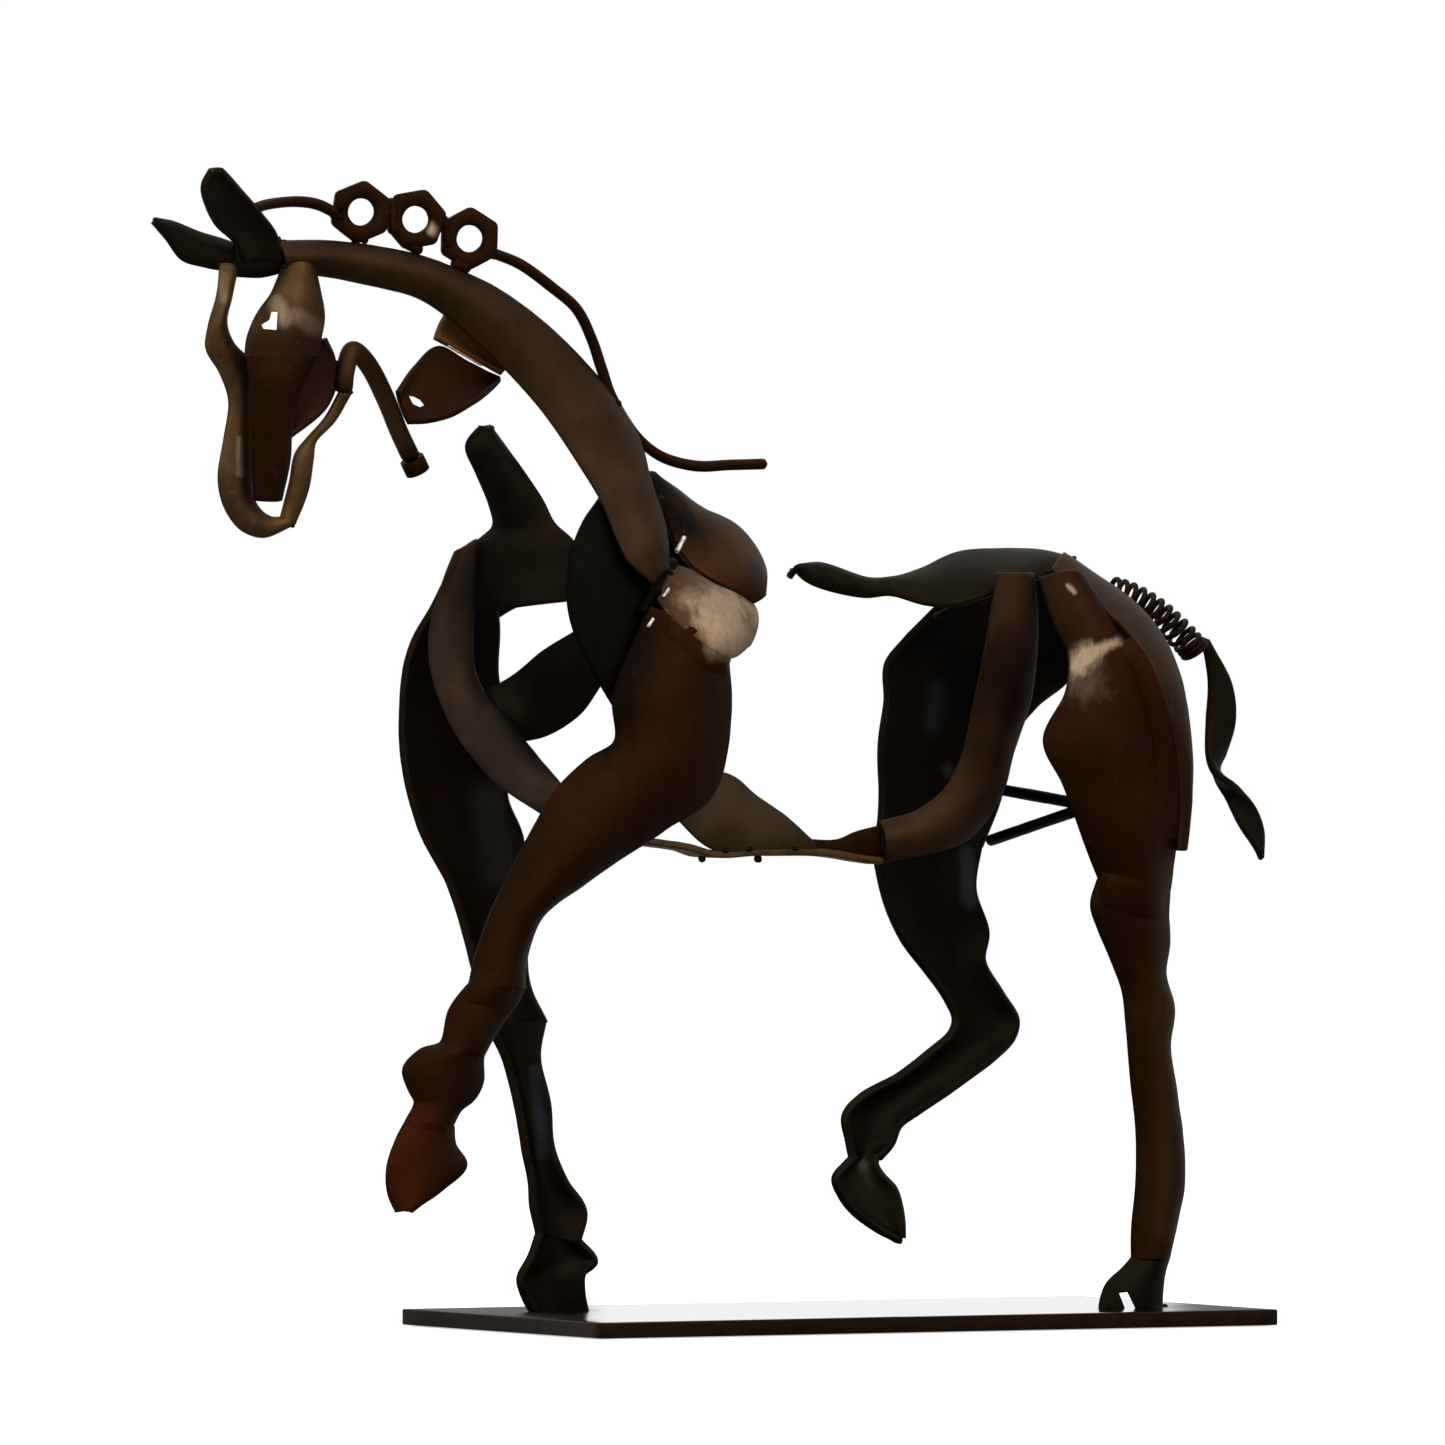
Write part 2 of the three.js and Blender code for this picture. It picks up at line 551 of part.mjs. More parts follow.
weld('belly_plate', 'olive', plate(
  [[-13.5, 54, -9], [-11, 53.5, -8], [-8.5, 51.4, -6], [-5.5, 49.2, -3.5], [-3.2, 47, -1.5]],
  [[-16.6, 49.4, -9.2], [-13.6, 46.5, -8], [-10.5, 45.5, -6], [-7, 45.4, -3.5], [-3.4, 45.3, -1.5]],
  { crown: 0.8 },
));

weld('flank_link', 'brown', plate(
  [[-3, 47, -1.4], [-0.4, 47, -0.8], [1.5, 47.8, -0.4], [3.8, 48.4, 0]],
  [[-3.2, 45.5, -1.4], [-0.6, 45.1, -0.8], [1.6, 44.8, -0.4], [3.8, 44.7, 0]],
  { crown: 0.3, strips: 2 },
));

weld('flank_band', 'olive', plate(
  [[15.6, 73.5, -6.2], [14.8, 67.8, -6.4], [13.6, 61.7, -4], [12, 54.9, -1.5], [10.3, 51.9, -0.8],
    [7.5, 49.8, -0.4], [4.1, 48.8, 0]],
  [[19.3, 73.5, -6.2], [19.6, 66, -6.4], [19, 61, -4], [17.3, 56, -1.5], [16, 51.5, -0.8], [12.5, 47, -0.4],
    [4.3, 44.9, 0]],
  { crown: 1.15, strips: 2 },
));

// Rump, hind legs and tail
const tailRoute = [[27, 72], [29, 71.4], [31.2, 70.2], [33.2, 68.6], [35, 66.8], [35.8, 65.8]];

weld('near_thigh', 'brown', plate(
  [[19.9, 73, -6.8], [21.4, 68.6, -7.6], [22.9, 65.4, -8.4], [22.6, 61.8, -9.2], [20.3, 56.9, -9.8],
    [22.2, 52.8, -10.1],
    [23.5, 49.5, -10.2], [25, 45.4, -10], [25.9, 43.2, -9.8]],
  [[24, 71.8, -4.6], [27.5, 68.5, -6.6], [30.5, 64.5, -8.2], [32.5, 61, -9], [34, 57, -9.6], [34, 52, -9.9],
    [33.7, 48, -10.2], [33.1, 43.5, -10], [32.8, 41.9, -9.8]],
  { crown: 2.45, thickness: legThickness, strips: 4 },
));

weld('near_hind_leg', 'brown', plate(
  [[25.7, 42.8, -9.8], [25.1, 40.5, -9.7], [25.8, 38.2, -9.6], [27.2, 35, -9.5], [28.3, 32, -9.5],
    [28.8, 28, -9.5],
    [29.2, 23, -9.5], [29.7, 18, -9.5], [29.7, 12.5, -9.5], [29.3, 8.2, -9.5], [29.3, 5.2, -9.5]],
  [[32.8, 41.5, -9.8], [32.7, 39.5, -9.7], [32.8, 36.5, -9.6], [32.4, 33.5, -9.5], [33.2, 30, -9.5],
    [32.7, 26.2, -9.5],
    [33.4, 22, -9.5], [34.1, 17, -9.5], [34.2, 12.5, -9.5], [33.5, 8.5, -9.5], [32.8, 5.4, -9.5]],
  { crown: 1.9, thickness: legThickness, steps: 1 },
));

const hoofSlit = [[28, 1.9], [28.8, 2], [30.2, -0.8], [29, -0.8]];
weld('near_hind_hoof', 'dark', pierced(plate(
  [[29.3, 5, -9.5], [28.2, 3.8, -9.5], [26.6, 2.3, -9.5], [26, 0.5, -9.5], [26, -1, -9.5]],
  [[32.8, 5.2, -9.5], [32.4, 3.8, -9.5], [32.2, 2.2, -9.5], [32.1, 0.5, -9.5], [32.1, -1, -9.5]],
  { crown: 1.5, thickness: legThickness },
), hoofSlit));

weld('far_thigh', 'dark', plate(
  [[10, 70.3, 4], [6.7, 67, 8], [4.7, 64.5, 10], [4.7, 61, 10.5], [4.1, 56.5, 10.5], [4.2, 51, 10.5],
    [3.8, 46.4, 10.3]],
  [[22.6, 72.5, 4], [24.5, 68, 8], [23.4, 63.3, 10], [20, 60.4, 10.5], [17.4, 57, 10.5], [16.4, 51.5, 10.5],
    [14.5, 46.5, 10.3]],
  { crown: -2.35, thickness: legThickness, strips: 4 },
));

weld('far_hind_leg', 'dark', plate(
  [[3.4, 46.2, 10.3], [4.4, 41.5, 10.2], [6.2, 37.2, 10.1], [8.8, 33.6, 10], [10.9, 30.7, 10], [11.6, 29, 10],
    [11.2, 27.6, 10], [9.6, 26.1, 10], [6, 23.4, 10], [2, 21.1, 10], [0.5, 19.2, 10], [0.9, 16.8, 10],
    [1.3, 15.2, 10]],
  [[14.4, 46.4, 10.3], [13.8, 42, 10.2], [15.1, 37.7, 10.1], [14.7, 34.8, 10], [16.5, 31.6, 10],
    [18.1, 28.9, 10],
    [17.7, 27, 10], [16, 25.2, 10], [12, 22.2, 10], [8.5, 19.8, 10], [6.3, 18.2, 10], [5.5, 16.4, 10],
    [4.4, 15.2, 10]],
  { crown: -1.5, thickness: legThickness, steps: 1 },
));

weld('far_hind_hoof', 'dark', plate(
  [[1.5, 15.1, 10], [0.6, 14.3, 10], [-0.5, 13, 10], [0.2, 11.1, 10], [1.8, 9.2, 10], [4, 7.7, 10],
    [6.1, 6.7, 10]],
  [[4, 15.1, 10], [3.9, 14.4, 10], [4.6, 13.3, 10], [5.8, 12, 10], [6.3, 10.5, 10], [6.5, 8.8, 10],
    [6.5, 7.2, 10]],
  { crown: -1.15, thickness: legThickness },
));

const braces = {
  upper: [[16.2, 52, 10.2], [23, 50.8, -9.6]],
  lower: [[15.2, 46.9, 9.8], [23.4, 49.8, -9.6]],
};
Object.entries(braces).forEach(([place, route]) => {
  weld(`thigh_brace_${place}`, 'dark', bar(route, roundSection(braceDiameter)));
});

weld(
  'tail_spring',
  'brown',
  spring(tailRoute, springDiameter, springWire, springTurns),
  bar(tailRoute, roundSection(springDiameter, 12)),
);

weld('rump_band', 'olive', plate(
  [[22.5, 75.4, -0.3], [25.2, 73.6, -1], [28.2, 71.6, -2.5], [30.7, 69.3, -4.5], [32.8, 66.2, -6.5],
    [34.2, 62.3, -8],
    [34.8, 57.4, -9.5], [34.7, 51, -10.5], [33.9, 46.3, -10.5]],
  [[21.2, 73.8, -5], [24.3, 71.6, -7.4], [27, 69.5, -9.4], [29.3, 67.2, -10.8], [31, 64.5, -11.8],
    [32.5, 60.5, -12.4], [33.5, 56.5, -12.4], [34, 51, -12], [33.7, 46.2, -11.4]],
  { crown: 0.65, strips: 2 },
));

weld('croup_far_plate', 'dark', plate(
  [[10.5, 74.6, 1], [16, 75.6, 1], [22, 75, 1], [26, 72.6, 1]],
  [[10.5, 71.4, 3], [15, 72.2, 3.4], [20.5, 73.2, 3.4], [24, 72, 2.8]],
  { crown: -0.75 },
));

weld('tail_ribbon', 'dark', plate(
  [[36.5, 66.5], [37, 62.5], [36.8, 59], [36.9, 55.5, -0.8], [37.7, 53.6, -1.7], [40, 52.1, -0.8],
    [41.8, 50.4], [42.7, 48], [42.6, 45.4]],
  [[37, 66.9], [39.3, 62.7], [39.7, 59], [38.7, 55.8, 0.8], [37.7, 53.8, 1.7], [38.8, 51, 0.8], [40.3, 48.4],
    [41.7, 46.3], [42.4, 45.2]],
  { crown: 0.3, strips: 2, steps: 1 },
));

export default horse;
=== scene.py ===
"""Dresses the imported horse: an openwork figure at a trot, welded from formed steel sheet, round rod, hex nuts
and a coil spring, on a flat steel base. Sizes are in metres. The head points along -X and the near side,
the horse's left, faces -Y."""

import math
from itertools import combinations

import bmesh
import bpy
from mathutils import Matrix, Vector, noise
from mathutils.bvhtree import BVHTree


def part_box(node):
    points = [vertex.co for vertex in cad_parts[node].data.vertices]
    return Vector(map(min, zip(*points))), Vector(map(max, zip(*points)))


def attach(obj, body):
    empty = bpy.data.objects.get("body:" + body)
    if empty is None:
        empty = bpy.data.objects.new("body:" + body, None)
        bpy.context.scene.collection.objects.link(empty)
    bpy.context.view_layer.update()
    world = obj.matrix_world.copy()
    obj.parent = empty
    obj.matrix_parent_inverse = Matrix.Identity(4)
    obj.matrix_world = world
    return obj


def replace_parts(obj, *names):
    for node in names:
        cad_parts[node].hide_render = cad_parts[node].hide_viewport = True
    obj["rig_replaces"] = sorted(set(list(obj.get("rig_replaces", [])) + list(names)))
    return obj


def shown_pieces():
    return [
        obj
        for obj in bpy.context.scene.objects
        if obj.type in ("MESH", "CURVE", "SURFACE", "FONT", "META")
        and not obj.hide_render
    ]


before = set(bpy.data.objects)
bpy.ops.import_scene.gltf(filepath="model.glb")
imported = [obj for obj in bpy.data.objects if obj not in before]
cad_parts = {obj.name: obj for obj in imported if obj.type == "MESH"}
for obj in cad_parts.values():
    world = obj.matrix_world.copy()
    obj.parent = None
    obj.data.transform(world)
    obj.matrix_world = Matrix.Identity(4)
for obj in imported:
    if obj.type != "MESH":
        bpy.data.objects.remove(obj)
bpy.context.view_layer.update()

MM = 0.001
BASE_THICKNESS = 3 * MM
SHEET = 1.4 * MM
LEG_SHEET = 1.7 * MM
MANE_ROD = 2.1 * MM
BRACE_ROD = 2.2 * MM
THROAT_ROD = 3.6 * MM
BELLY_STRIP = 5 * MM
NUT_FLATS = 10.5 * MM
NUT_BORE = 5 * MM
NUT_HEIGHT = 3 * MM
NUT_SWING = math.radians(20)
HEAD_FLATS = 4.7 * MM
HEAD_HEIGHT = 3 * MM
SPRING_ACROSS = 6 * MM
SPRING_WIRE = 1 * MM
SPRING_TURNS = 13
NUT_PITCH = 1 * MM
CHAMFER_FROM = 0.96
CREASE = 0.1 * MM
SEAM = 0.3 * MM
EASED = 0.3 * MM

# The layout drawing: a square of it, where it is seen from, round from the horse's side and down, and the way
# from the horse to its viewer
SQUARE = 214 * MM / 113.4
LOOK_ROUND = math.radians(28)
LOOK_DOWN = math.radians(1.5)
SIN_ROUND, COS_ROUND = math.sin(LOOK_ROUND), math.cos(LOOK_ROUND)
SIN_DOWN, COS_DOWN = math.sin(LOOK_DOWN), math.cos(LOOK_DOWN)
AWAY = Vector((-SIN_ROUND * COS_DOWN, -COS_ROUND * COS_DOWN, SIN_DOWN))


def spot(place):
    """A point of the drawing, (across, up, beside) in squares; beside is negative on the near side"""
    across, up, beside = (*place, 0)[:3]
    x = (across + beside * SIN_ROUND) / COS_ROUND
    depth = x * SIN_ROUND + beside * COS_ROUND
    z = (up - depth * SIN_DOWN) / COS_DOWN
    return Vector((x, beside, z)) * SQUARE + Vector((0, 0, BASE_THICKNESS))


# Finishes


class Value:
    """A shader output that takes part in sums and products"""

    def __init__(self, shader, socket):
        self.shader = shader
        self.socket = socket

    def __add__(self, other):
        return self.shader.math("ADD", self, other)

    def __sub__(self, other):
        return self.shader.math("SUBTRACT", self, other)

    def __rsub__(self, other):
        return self.shader.math("SUBTRACT", other, self)

    def __mul__(self, other):
        return self.shader.math("MULTIPLY", self, other)

    def __truediv__(self, other):
        return self.shader.math("DIVIDE", self, other)

    __radd__ = __add__
    __rmul__ = __mul__


class Shader:
    """The nodes of one material or world"""

    def __init__(self, owner):
        owner.use_nodes = True
        self.tree = owner.node_tree
        self.tree.nodes.clear()

    def node(self, kind, settings, inputs, output=0):
        node = self.tree.nodes.new("ShaderNode" + kind)
        for name, value in settings.items():
            setattr(node, name, value)
        for key, value in inputs.items():
            if isinstance(value, Value):
                self.tree.links.new(value.socket, node.inputs[key])
            else:
                node.inputs[key].default_value = value
        return Value(self, node.outputs[output]) if node.outputs else None

    def place(self, of="Object"):
        return self.node("TexCoord", {}, {}, of)

    def math(self, operation, *terms):
        return self.node("Math", {"operation": operation}, dict(enumerate(terms)))

    def clamp(self, value):
        return self.node("Clamp", {}, {0: value})

    def smooth(self, value, low, high):
        inputs = {0: value, 1: low, 2: high, 3: 0.0, 4: 1.0}
        return self.node("MapRange", {"interpolation_type": "SMOOTHSTEP"}, inputs)

    def mix(self, share, first, second):
        return self.node("Mix", {"data_type": "RGBA"}, {0: share, 6: first, 7: second}, 2)

    def noise(self, place, scale, detail=3.0, roughness=0.55):
        inputs = {"Vector": place, "Scale": scale, "Detail": detail, "Roughness": roughness}
        return self.node("TexNoise", {}, inputs)

    def vector(self, operation, first, *second, output=0):
        key = 3 if operation == "SCALE" else 1
        inputs = {0: first, **{key: value for value in second}}
        return self.node("VectorMath", {"operation": operation}, inputs, output)

    def dot(self, first, second):
        return self.vector("DOT_PRODUCT", first, second, output=1)


def colour(red, green, blue):
    """Display values from 0 to 255 as the shader's linear colour"""
    shares = (level / 255 for level in (red, green, blue))
    return (*(((share + 0.055) / 1.055) ** 2.4 if share > 0.04 else share / 12.92 for share in shares), 1.0)


def at_squares(shader):
    """Where a point of the piece is on the drawing, in squares: across, up and nothing"""
    place = shader.place()
    across = (COS_ROUND, -SIN_ROUND, 0)
    up = (SIN_ROUND * SIN_DOWN, COS_ROUND * SIN_DOWN, COS_DOWN)
    squares = {0: shader.dot(place, across) / SQUARE, 1: (shader.dot(place, up) - BASE_THICKNESS) / SQUARE}
    return shader.node("CombineXYZ", {}, squares)


def near_line(shader, squares, start, end, reach, waver):
    """How near a point is to a line of the drawing: 1 on it, and fading to 0 at its reach"""
    from_start = shader.vector("SUBTRACT", squares, (*start, 0))
    along = Vector((*end, 0)) - Vector((*start, 0))
    if along.length > 0:
        share = shader.clamp(shader.dot(from_start, tuple(along / along.length_squared)))
        from_start = shader.vector("SUBTRACT", from_start, shader.vector("SCALE", tuple(along), share))
    away = shader.vector("LENGTH", from_start, output=1)
    return 1 - shader.smooth(away / reach + waver, 0.1, 1.15)


# Painted highlights, laid over the patina as bright metal with a brushed grain: a line of the drawing, how far
# round it they reach, and how strongly
PAINTED_HIGHLIGHTS = {
    "bright": [
        ((-12, 69.6), (-9.2, 67), 3.6, 0.9),
        ((-14.6, 71.4), (-11, 69.4), 2, 0.4),
    ],
    "brown": [
        ((27.8, 66.9), (24.6, 65.4), 0.9, 0.8),
        ((24.6, 65.6), (23.6, 64.6), 1.7, 0.85),
        ((24.8, 64.4), (24.2, 62.8), 2.6, 0.16),
        ((22.9, 64.2), (21.7, 60.8), 0.6, 0.4),
        ((22.8, 72.5), (23.5, 71.8), 0.4, 0.65),
        ((-40.8, 108), (-40.7, 107.8), 0.8, 0.9),
        ((-12.6, 66.6), (-10, 64.8), 1.4, 0.4),
    ],
    "tan": [
        ((-56.2, 100.9), (-55.3, 98.6), 0.9, 0.4),
        ((-53.9, 99), (-52.6, 98.2), 1.1, 0.25),
        ((-59.8, 87), (-59.8, 83.6), 0.5, 0.6),
        ((-61.9, 103.5), (-61.5, 101), 0.9, 0.3),
    ],
}

# Places where the patina has another tone, or where light and shade are painted: a line of the drawing, its
# reach, the colour, and how strongly
TONES_AND_PAINTED_LIGHT = {
    "brown": [
        ((-43.5, 18), (-42.5, 11.5), 6, (64, 28, 8), 0.9),
        ((-56.5, 96.8), (-56, 95.2), 3.4, (62, 40, 22), 0.8),
        ((-49, 95), (-44.6, 86.8), 2, (78, 58, 36), 0.8),
        ((-20.6, 67), (-23.4, 57), 3.6, (17, 11, 5), 0.95),
        # Painted light: the lit right edge of the crowned near hind leg
        ((32.6, 44), (32.8, 8), 1.8, (58, 44, 24), 0.7),
        ((22, 72), (24.5, 68), 3, (58, 40, 22), 0.6),
    ],
    "olive": [
        ((18.4, 66.4), (17.6, 62), 5, (48, 29, 21), 1.0),
        ((-18.2, 75), (-16.8, 72.6), 2.6, (30, 20, 17), 0.75),
        # Painted light: the lit middle of the crowned neck band
        ((-30, 88), (-22, 77), 3, (66, 50, 36), 0.5),
        # Painted light on the belly plate, where its crown faces the light
        ((-13, 50.5), (-7.5, 49.5), 5.5, (92, 76, 54), 0.9),
        ((34.8, 60), (34.2, 46), 3.4, (46, 27, 12), 0.8),
    ],
    "tan": [((-58.6, 96.2), (-52.4, 96.2), 4.6, (50, 31, 16), 0.95)],
    "withers": [
        # Painted shade: the shadow in the gap behind the neck
        ((-18.2, 81.4), (-15.8, 76.8), 5, (12, 7, 3), 1.0),
        ((-9, 72.4), (-8, 74), 2, (34, 18, 8), 0.7),
        ((-14.6, 74.6), (-11.6, 72.6), 3.4, (62, 36, 14), 0.7),
    ],
    "bright": [((-17.6, 74.2), (-16.2, 67), 4.4, (66, 44, 26), 0.95)],
    # Far plates: painted highlights as grey streaks and spots, and painted light lifting the far forearm and
    # far hind hoof out of their shade
    "far": [
        ((9.6, 61.8), (9.4, 58.4), 1.6, (58, 62, 68), 0.6),
        ((12.8, 45.6), (13.2, 41), 1.2, (70, 72, 78), 0.5),
        ((10.9, 54), (11, 53.8), 1, (76, 80, 88), 0.6),
        ((-30.6, 24), (-29.6, 15.5), 0.8, (60, 62, 70), 0.7),
        ((-41.5, 58), (-38.4, 42), 3.2, (46, 28, 12), 0.6),
        ((-35.6, 51), (-34.6, 44), 2.4, (52, 52, 50), 0.5),
        ((2.4, 14.2), (3.2, 12.4), 0.9, (90, 90, 84), 0.7),
        ((3.4, 12.6), (5.2, 9.4), 3, (56, 52, 32), 0.6),
    ],
}

# Places where the base has lost its polish: a line of the drawing, its reach, and how much rougher it is
DULLED = {"base": [((-60, -1), (-32, -1), 8, 0.4), ((38, 0.5), (60, 0.5), 7, 0.4)]}


def steel(name, slot, deep, body, worn, gloss, places=""):
    """Patinated steel: a faintly mottled skin over the metal, rubbed a little along the rims, and given other
    tones or painted light and shade, dulled, or given painted highlights of bright metal in the places listed
    under its name"""
    material = bpy.data.materials.new(name)
    material["slot"] = slot
    shader = Shader(material)
    deep, body, worn = (colour(*tone) for tone in (deep, body, worn))
    place = shader.place()
    rim = shader.node("Attribute", {"attribute_name": "rim"}, {}, "Fac")
    mottle = shader.noise(place, 60.0, 4.0, 0.6)
    fleck = shader.noise(place, 520.0, 4.0, 0.65)
    brushed = shader.noise(shader.vector("MULTIPLY", place, (1.0, 1.0, 0.12)), 1900.0, 2.0, 0.5)
    streak = shader.noise(shader.vector("MULTIPLY", place, (1.0, 1.0, 0.3)), 260.0, 3.0, 0.6)
    squares = at_squares(shader)
    waver = (mottle - 0.5) * 1.5 + (streak - 0.5) * 1.8 + (fleck - 0.5) * 0.6

    skin = shader.mix(shader.smooth(mottle * 0.7 + streak * 0.3, 0.3, 0.72), deep, body)
    # Other tones of the patina, and painted light and shade, along the listed lines
    for start, end, reach, tone, strength in TONES_AND_PAINTED_LIGHT.get(places, []):
        tone_or_light_share = near_line(shader, squares, start, end, reach, waver * 0.5) * strength
        skin = shader.mix(tone_or_light_share, skin, colour(*tone))
    skin = shader.mix(shader.smooth(fleck, 0.58, 0.85) * 0.3, skin, worn)
    rubbed = shader.smooth(rim * 0.75 + fleck * 0.55 + (mottle - 0.5) * 0.5, 0.82, 1.15)
    skin = shader.mix(rubbed * 0.16, skin, worn)

    # Painted highlights: bright brushed metal laid over the skin in the listed places
    highlight_share = 0.0
    for start, end, reach, strength in PAINTED_HIGHLIGHTS.get(places, []):
        highlight_share = near_line(shader, squares, start, end, reach, waver) * strength + highlight_share
    highlight_share = shader.clamp(highlight_share)
    # The colour of the painted highlights
    ground = shader.mix(brushed * 0.5 + streak * 0.5, colour(120, 92, 66), colour(214, 192, 164))
    height = fleck * 0.35 + mottle * 0.5 + brushed * 0.15
    bump = shader.node("Bump", {}, {"Strength": 0.25, "Distance": 0.2 * MM, "Height": height})
    skin_gloss = gloss * (1 + (fleck - 0.5) * 0.4 + (mottle - 0.5) * 0.3)
    for start, end, reach, dulled in DULLED.get(places, []):
        skin_gloss = near_line(shader, squares, start, end, reach, waver * 0.3) * dulled + skin_gloss
    inputs = {
        "Base Color": shader.mix(highlight_share, skin, ground),
        "Metallic": 0.95,
        "Roughness": skin_gloss * (1 - highlight_share) + highlight_share * (0.34 + brushed * 0.2),
        "Normal": bump,
    }
    surface = shader.node("BsdfPrincipled", {}, inputs)
    shader.node("OutputMaterial", {}, {"Surface": surface})
    return material


DARK = steel("black_patina", "dark_patina", (8, 7, 3), (14, 12, 5), (40, 32, 20), 0.55)
# Painted light: the far plates' patina lightened against the shade they stand in
FAR = steel("shaded_patina", "dark_patina", (22, 17, 9), (36, 28, 17), (66, 54, 38), 0.55, "far")
RUST = steel("rust_patina", "dark_patina", (42, 24, 17), (58, 34, 25), (96, 62, 40), 0.55)
BROWN = steel("red_brown_patina", "brown_patina", (36, 18, 4), (48, 25, 6), (84, 56, 30), 0.55, "brown")
OLIVE = steel("olive_brown_patina", "olive_patina", (50, 34, 20), (66, 47, 29), (104, 82, 56), 0.52, "olive")
# Painted light: the flange's patina lightened against the shade the neck casts on it
FLANGE_LIGHTENED = steel("flange_patina", "olive_patina", (100, 68, 34), (124, 88, 48), (130, 100, 64), 0.52)
WITHERS = steel("withers_patina", "olive_patina", (56, 34, 11), (78, 50, 20), (112, 84, 52), 0.5, "withers")
CROUP = steel("croup_patina", "olive_patina", (22, 17, 8), (33, 26, 13), (76, 62, 40), 0.52)
TAN = steel("tan_brushed_steel", "tan_steel", (64, 46, 26), (104, 80, 50), (150, 124, 88), 0.48, "tan")
FRONT = steel("grey_brown_steel", "tan_steel", (44, 33, 24), (58, 46, 35), (96, 80, 62), 0.52)
# Painted highlight: the lower withers plate coloured as bright ground steel where the light falls on it
HIGHLIT_STEEL = steel("ground_steel", "bright_steel", (78, 56, 36), (112, 86, 60), (190, 166, 138), 0.42, "bright")
# Painted glints: weld beads coloured near white where the light catches them
GLINT_WELD = steel("polished_weld", "bright_steel", (196, 184, 168), (250, 244, 236), (250, 246, 240), 0.3)
BASE = steel("base_patina", "base_steel", (36, 24, 15), (46, 32, 21), (70, 50, 34), 0.09, "base")

# Shaping

FINE = 0.8 * MM
ROD_FINE = 0.6 * MM
ROUNDING = 0.4 * MM
RIM_WEAR = 1.4 * MM
OVERLAP = 0.5 * MM
NODE_REACH = 0.95 * MM
CUT_REACH = 60 * MM


def hammered(point):
    """How far the face of formed metal lies in or out at a place"""
    return (noise.noise(point * 85) * 0.24 + noise.noise(point * 260 + Vector((7, 3, 5))) * 0.07) * MM


def smooth_line(points, steps):
    """A smooth curve through the points, with steps to each span"""
    first, last = 2 * points[0] - points[1], 2 * points[-1] - points[-2]
    around = [first, *points, last]
    line = []
    for a, b, c, d in zip(around, around[1:], around[2:], around[3:]):
        t1 = max((b - a).length ** 0.5, 1e-6)
        t2 = t1 + max((c - b).length ** 0.5, 1e-6)
        t3 = t2 + max((d - c).length ** 0.5, 1e-6)
        for i in range(steps):
            t = t1 + (t2 - t1) * i / steps
            ab = a.lerp(b, t / t1)
            bc = b.lerp(c, (t - t1) / (t2 - t1))
            cd = c.lerp(d, (t - t2) / (t3 - t2))
            line.append(ab.lerp(bc, t / t2).lerp(bc.lerp(cd, (t - t1) / (t3 - t1)), (t - t1) / (t2 - t1)))
    return [*line, points[-1].copy()]


def added(name, data):
    """Puts a mesh, a light or a camera in the scene"""
    thing = bpy.data.objects.new(name, data)
    bpy.context.scene.collection.objects.link(thing)
    return thing


def placed(name, shape):
    """Puts a shape in the scene as an object of its own"""
    mesh = bpy.data.meshes.new(name)
    shape.to_mesh(mesh)
    shape.free()
    return added(name, mesh)


def show(node, shape, finish, name=None):
    """Puts a finished shape in the scene, in the place of a node if it has one"""
    bmesh.ops.recalc_face_normals(shape, faces=shape.faces[:])
    piece = placed(name or node + "_formed", shape)
    piece.data.shade_smooth()
    piece.data.materials.append(finish)
    if node:
        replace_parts(piece, node)
    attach(piece, "root")
    return piece


def settled(piece):
    """Makes a piece's modifiers part of its mesh"""
    bpy.context.view_layer.update()
    piece.data = bpy.data.meshes.new_from_object(piece.evaluated_get(bpy.context.evaluated_depsgraph_get()))
    piece.modifiers.clear()


def tree_of(mesh):
    """The faces of a mesh, for finding what is near them or meets them"""
    return BVHTree.FromPolygons([v.co for v in mesh.vertices], [tuple(p.vertices) for p in mesh.polygons])


def rounded_shares(length, count):
    """Shares of a length: an even run of them, with the lines of the rounded rim at both ends"""
    rim = [0.0, 0.3 * ROUNDING / length, ROUNDING / length] if length > 4 * ROUNDING else [0.0, 0.08, 0.25]
    inner = [rim[-1] + (1 - 2 * rim[-1]) * i / count for i in range(1, count)]
    return [*rim, *inner, *(1 - share for share in reversed(rim))]


def half_thickness(depth, half):
    """Half the sheet's thickness at this depth in from its rim"""
    if depth >= ROUNDING:
        return half
    return half - ROUNDING + math.sqrt(max(0.0, ROUNDING**2 - (ROUNDING - depth) ** 2))


def cross_line(edges, share):
    """Where a station, a share of the way along, lies on each of the two edges"""
    ends = []
    for edge in edges:
        at = share * (len(edge) - 1)
        i = min(int(at), len(edge) - 2)
        ends.append(edge[i].lerp(edge[i + 1], at - i))
    return ends


def sheet(node, finish, front, back, crown, thickness=SHEET, openings=(), flush="", beside=0):
    """A formed sheet between two edges, crowned to one side, trimmed to where its node is. Its start, its end
    or both are flush where the next sheet carries its surface on. Beside goes for points that don't say it"""
    rails = [[spot((*place, beside)[:3]) for place in edge] for edge in (front, back)]
    for rail in rails:
        rail[0] += (rail[0] - rail[1]).normalized() * OVERLAP
        rail[-1] += (rail[-1] - rail[-2]).normalized() * OVERLAP
    return formed(node, finish, rails, crown * SQUARE, thickness, openings, flush)


def limb(*given, **named):
    """A sheet of a leg, which is thicker than the others"""
    return sheet(*given, thickness=LEG_SHEET, **named)


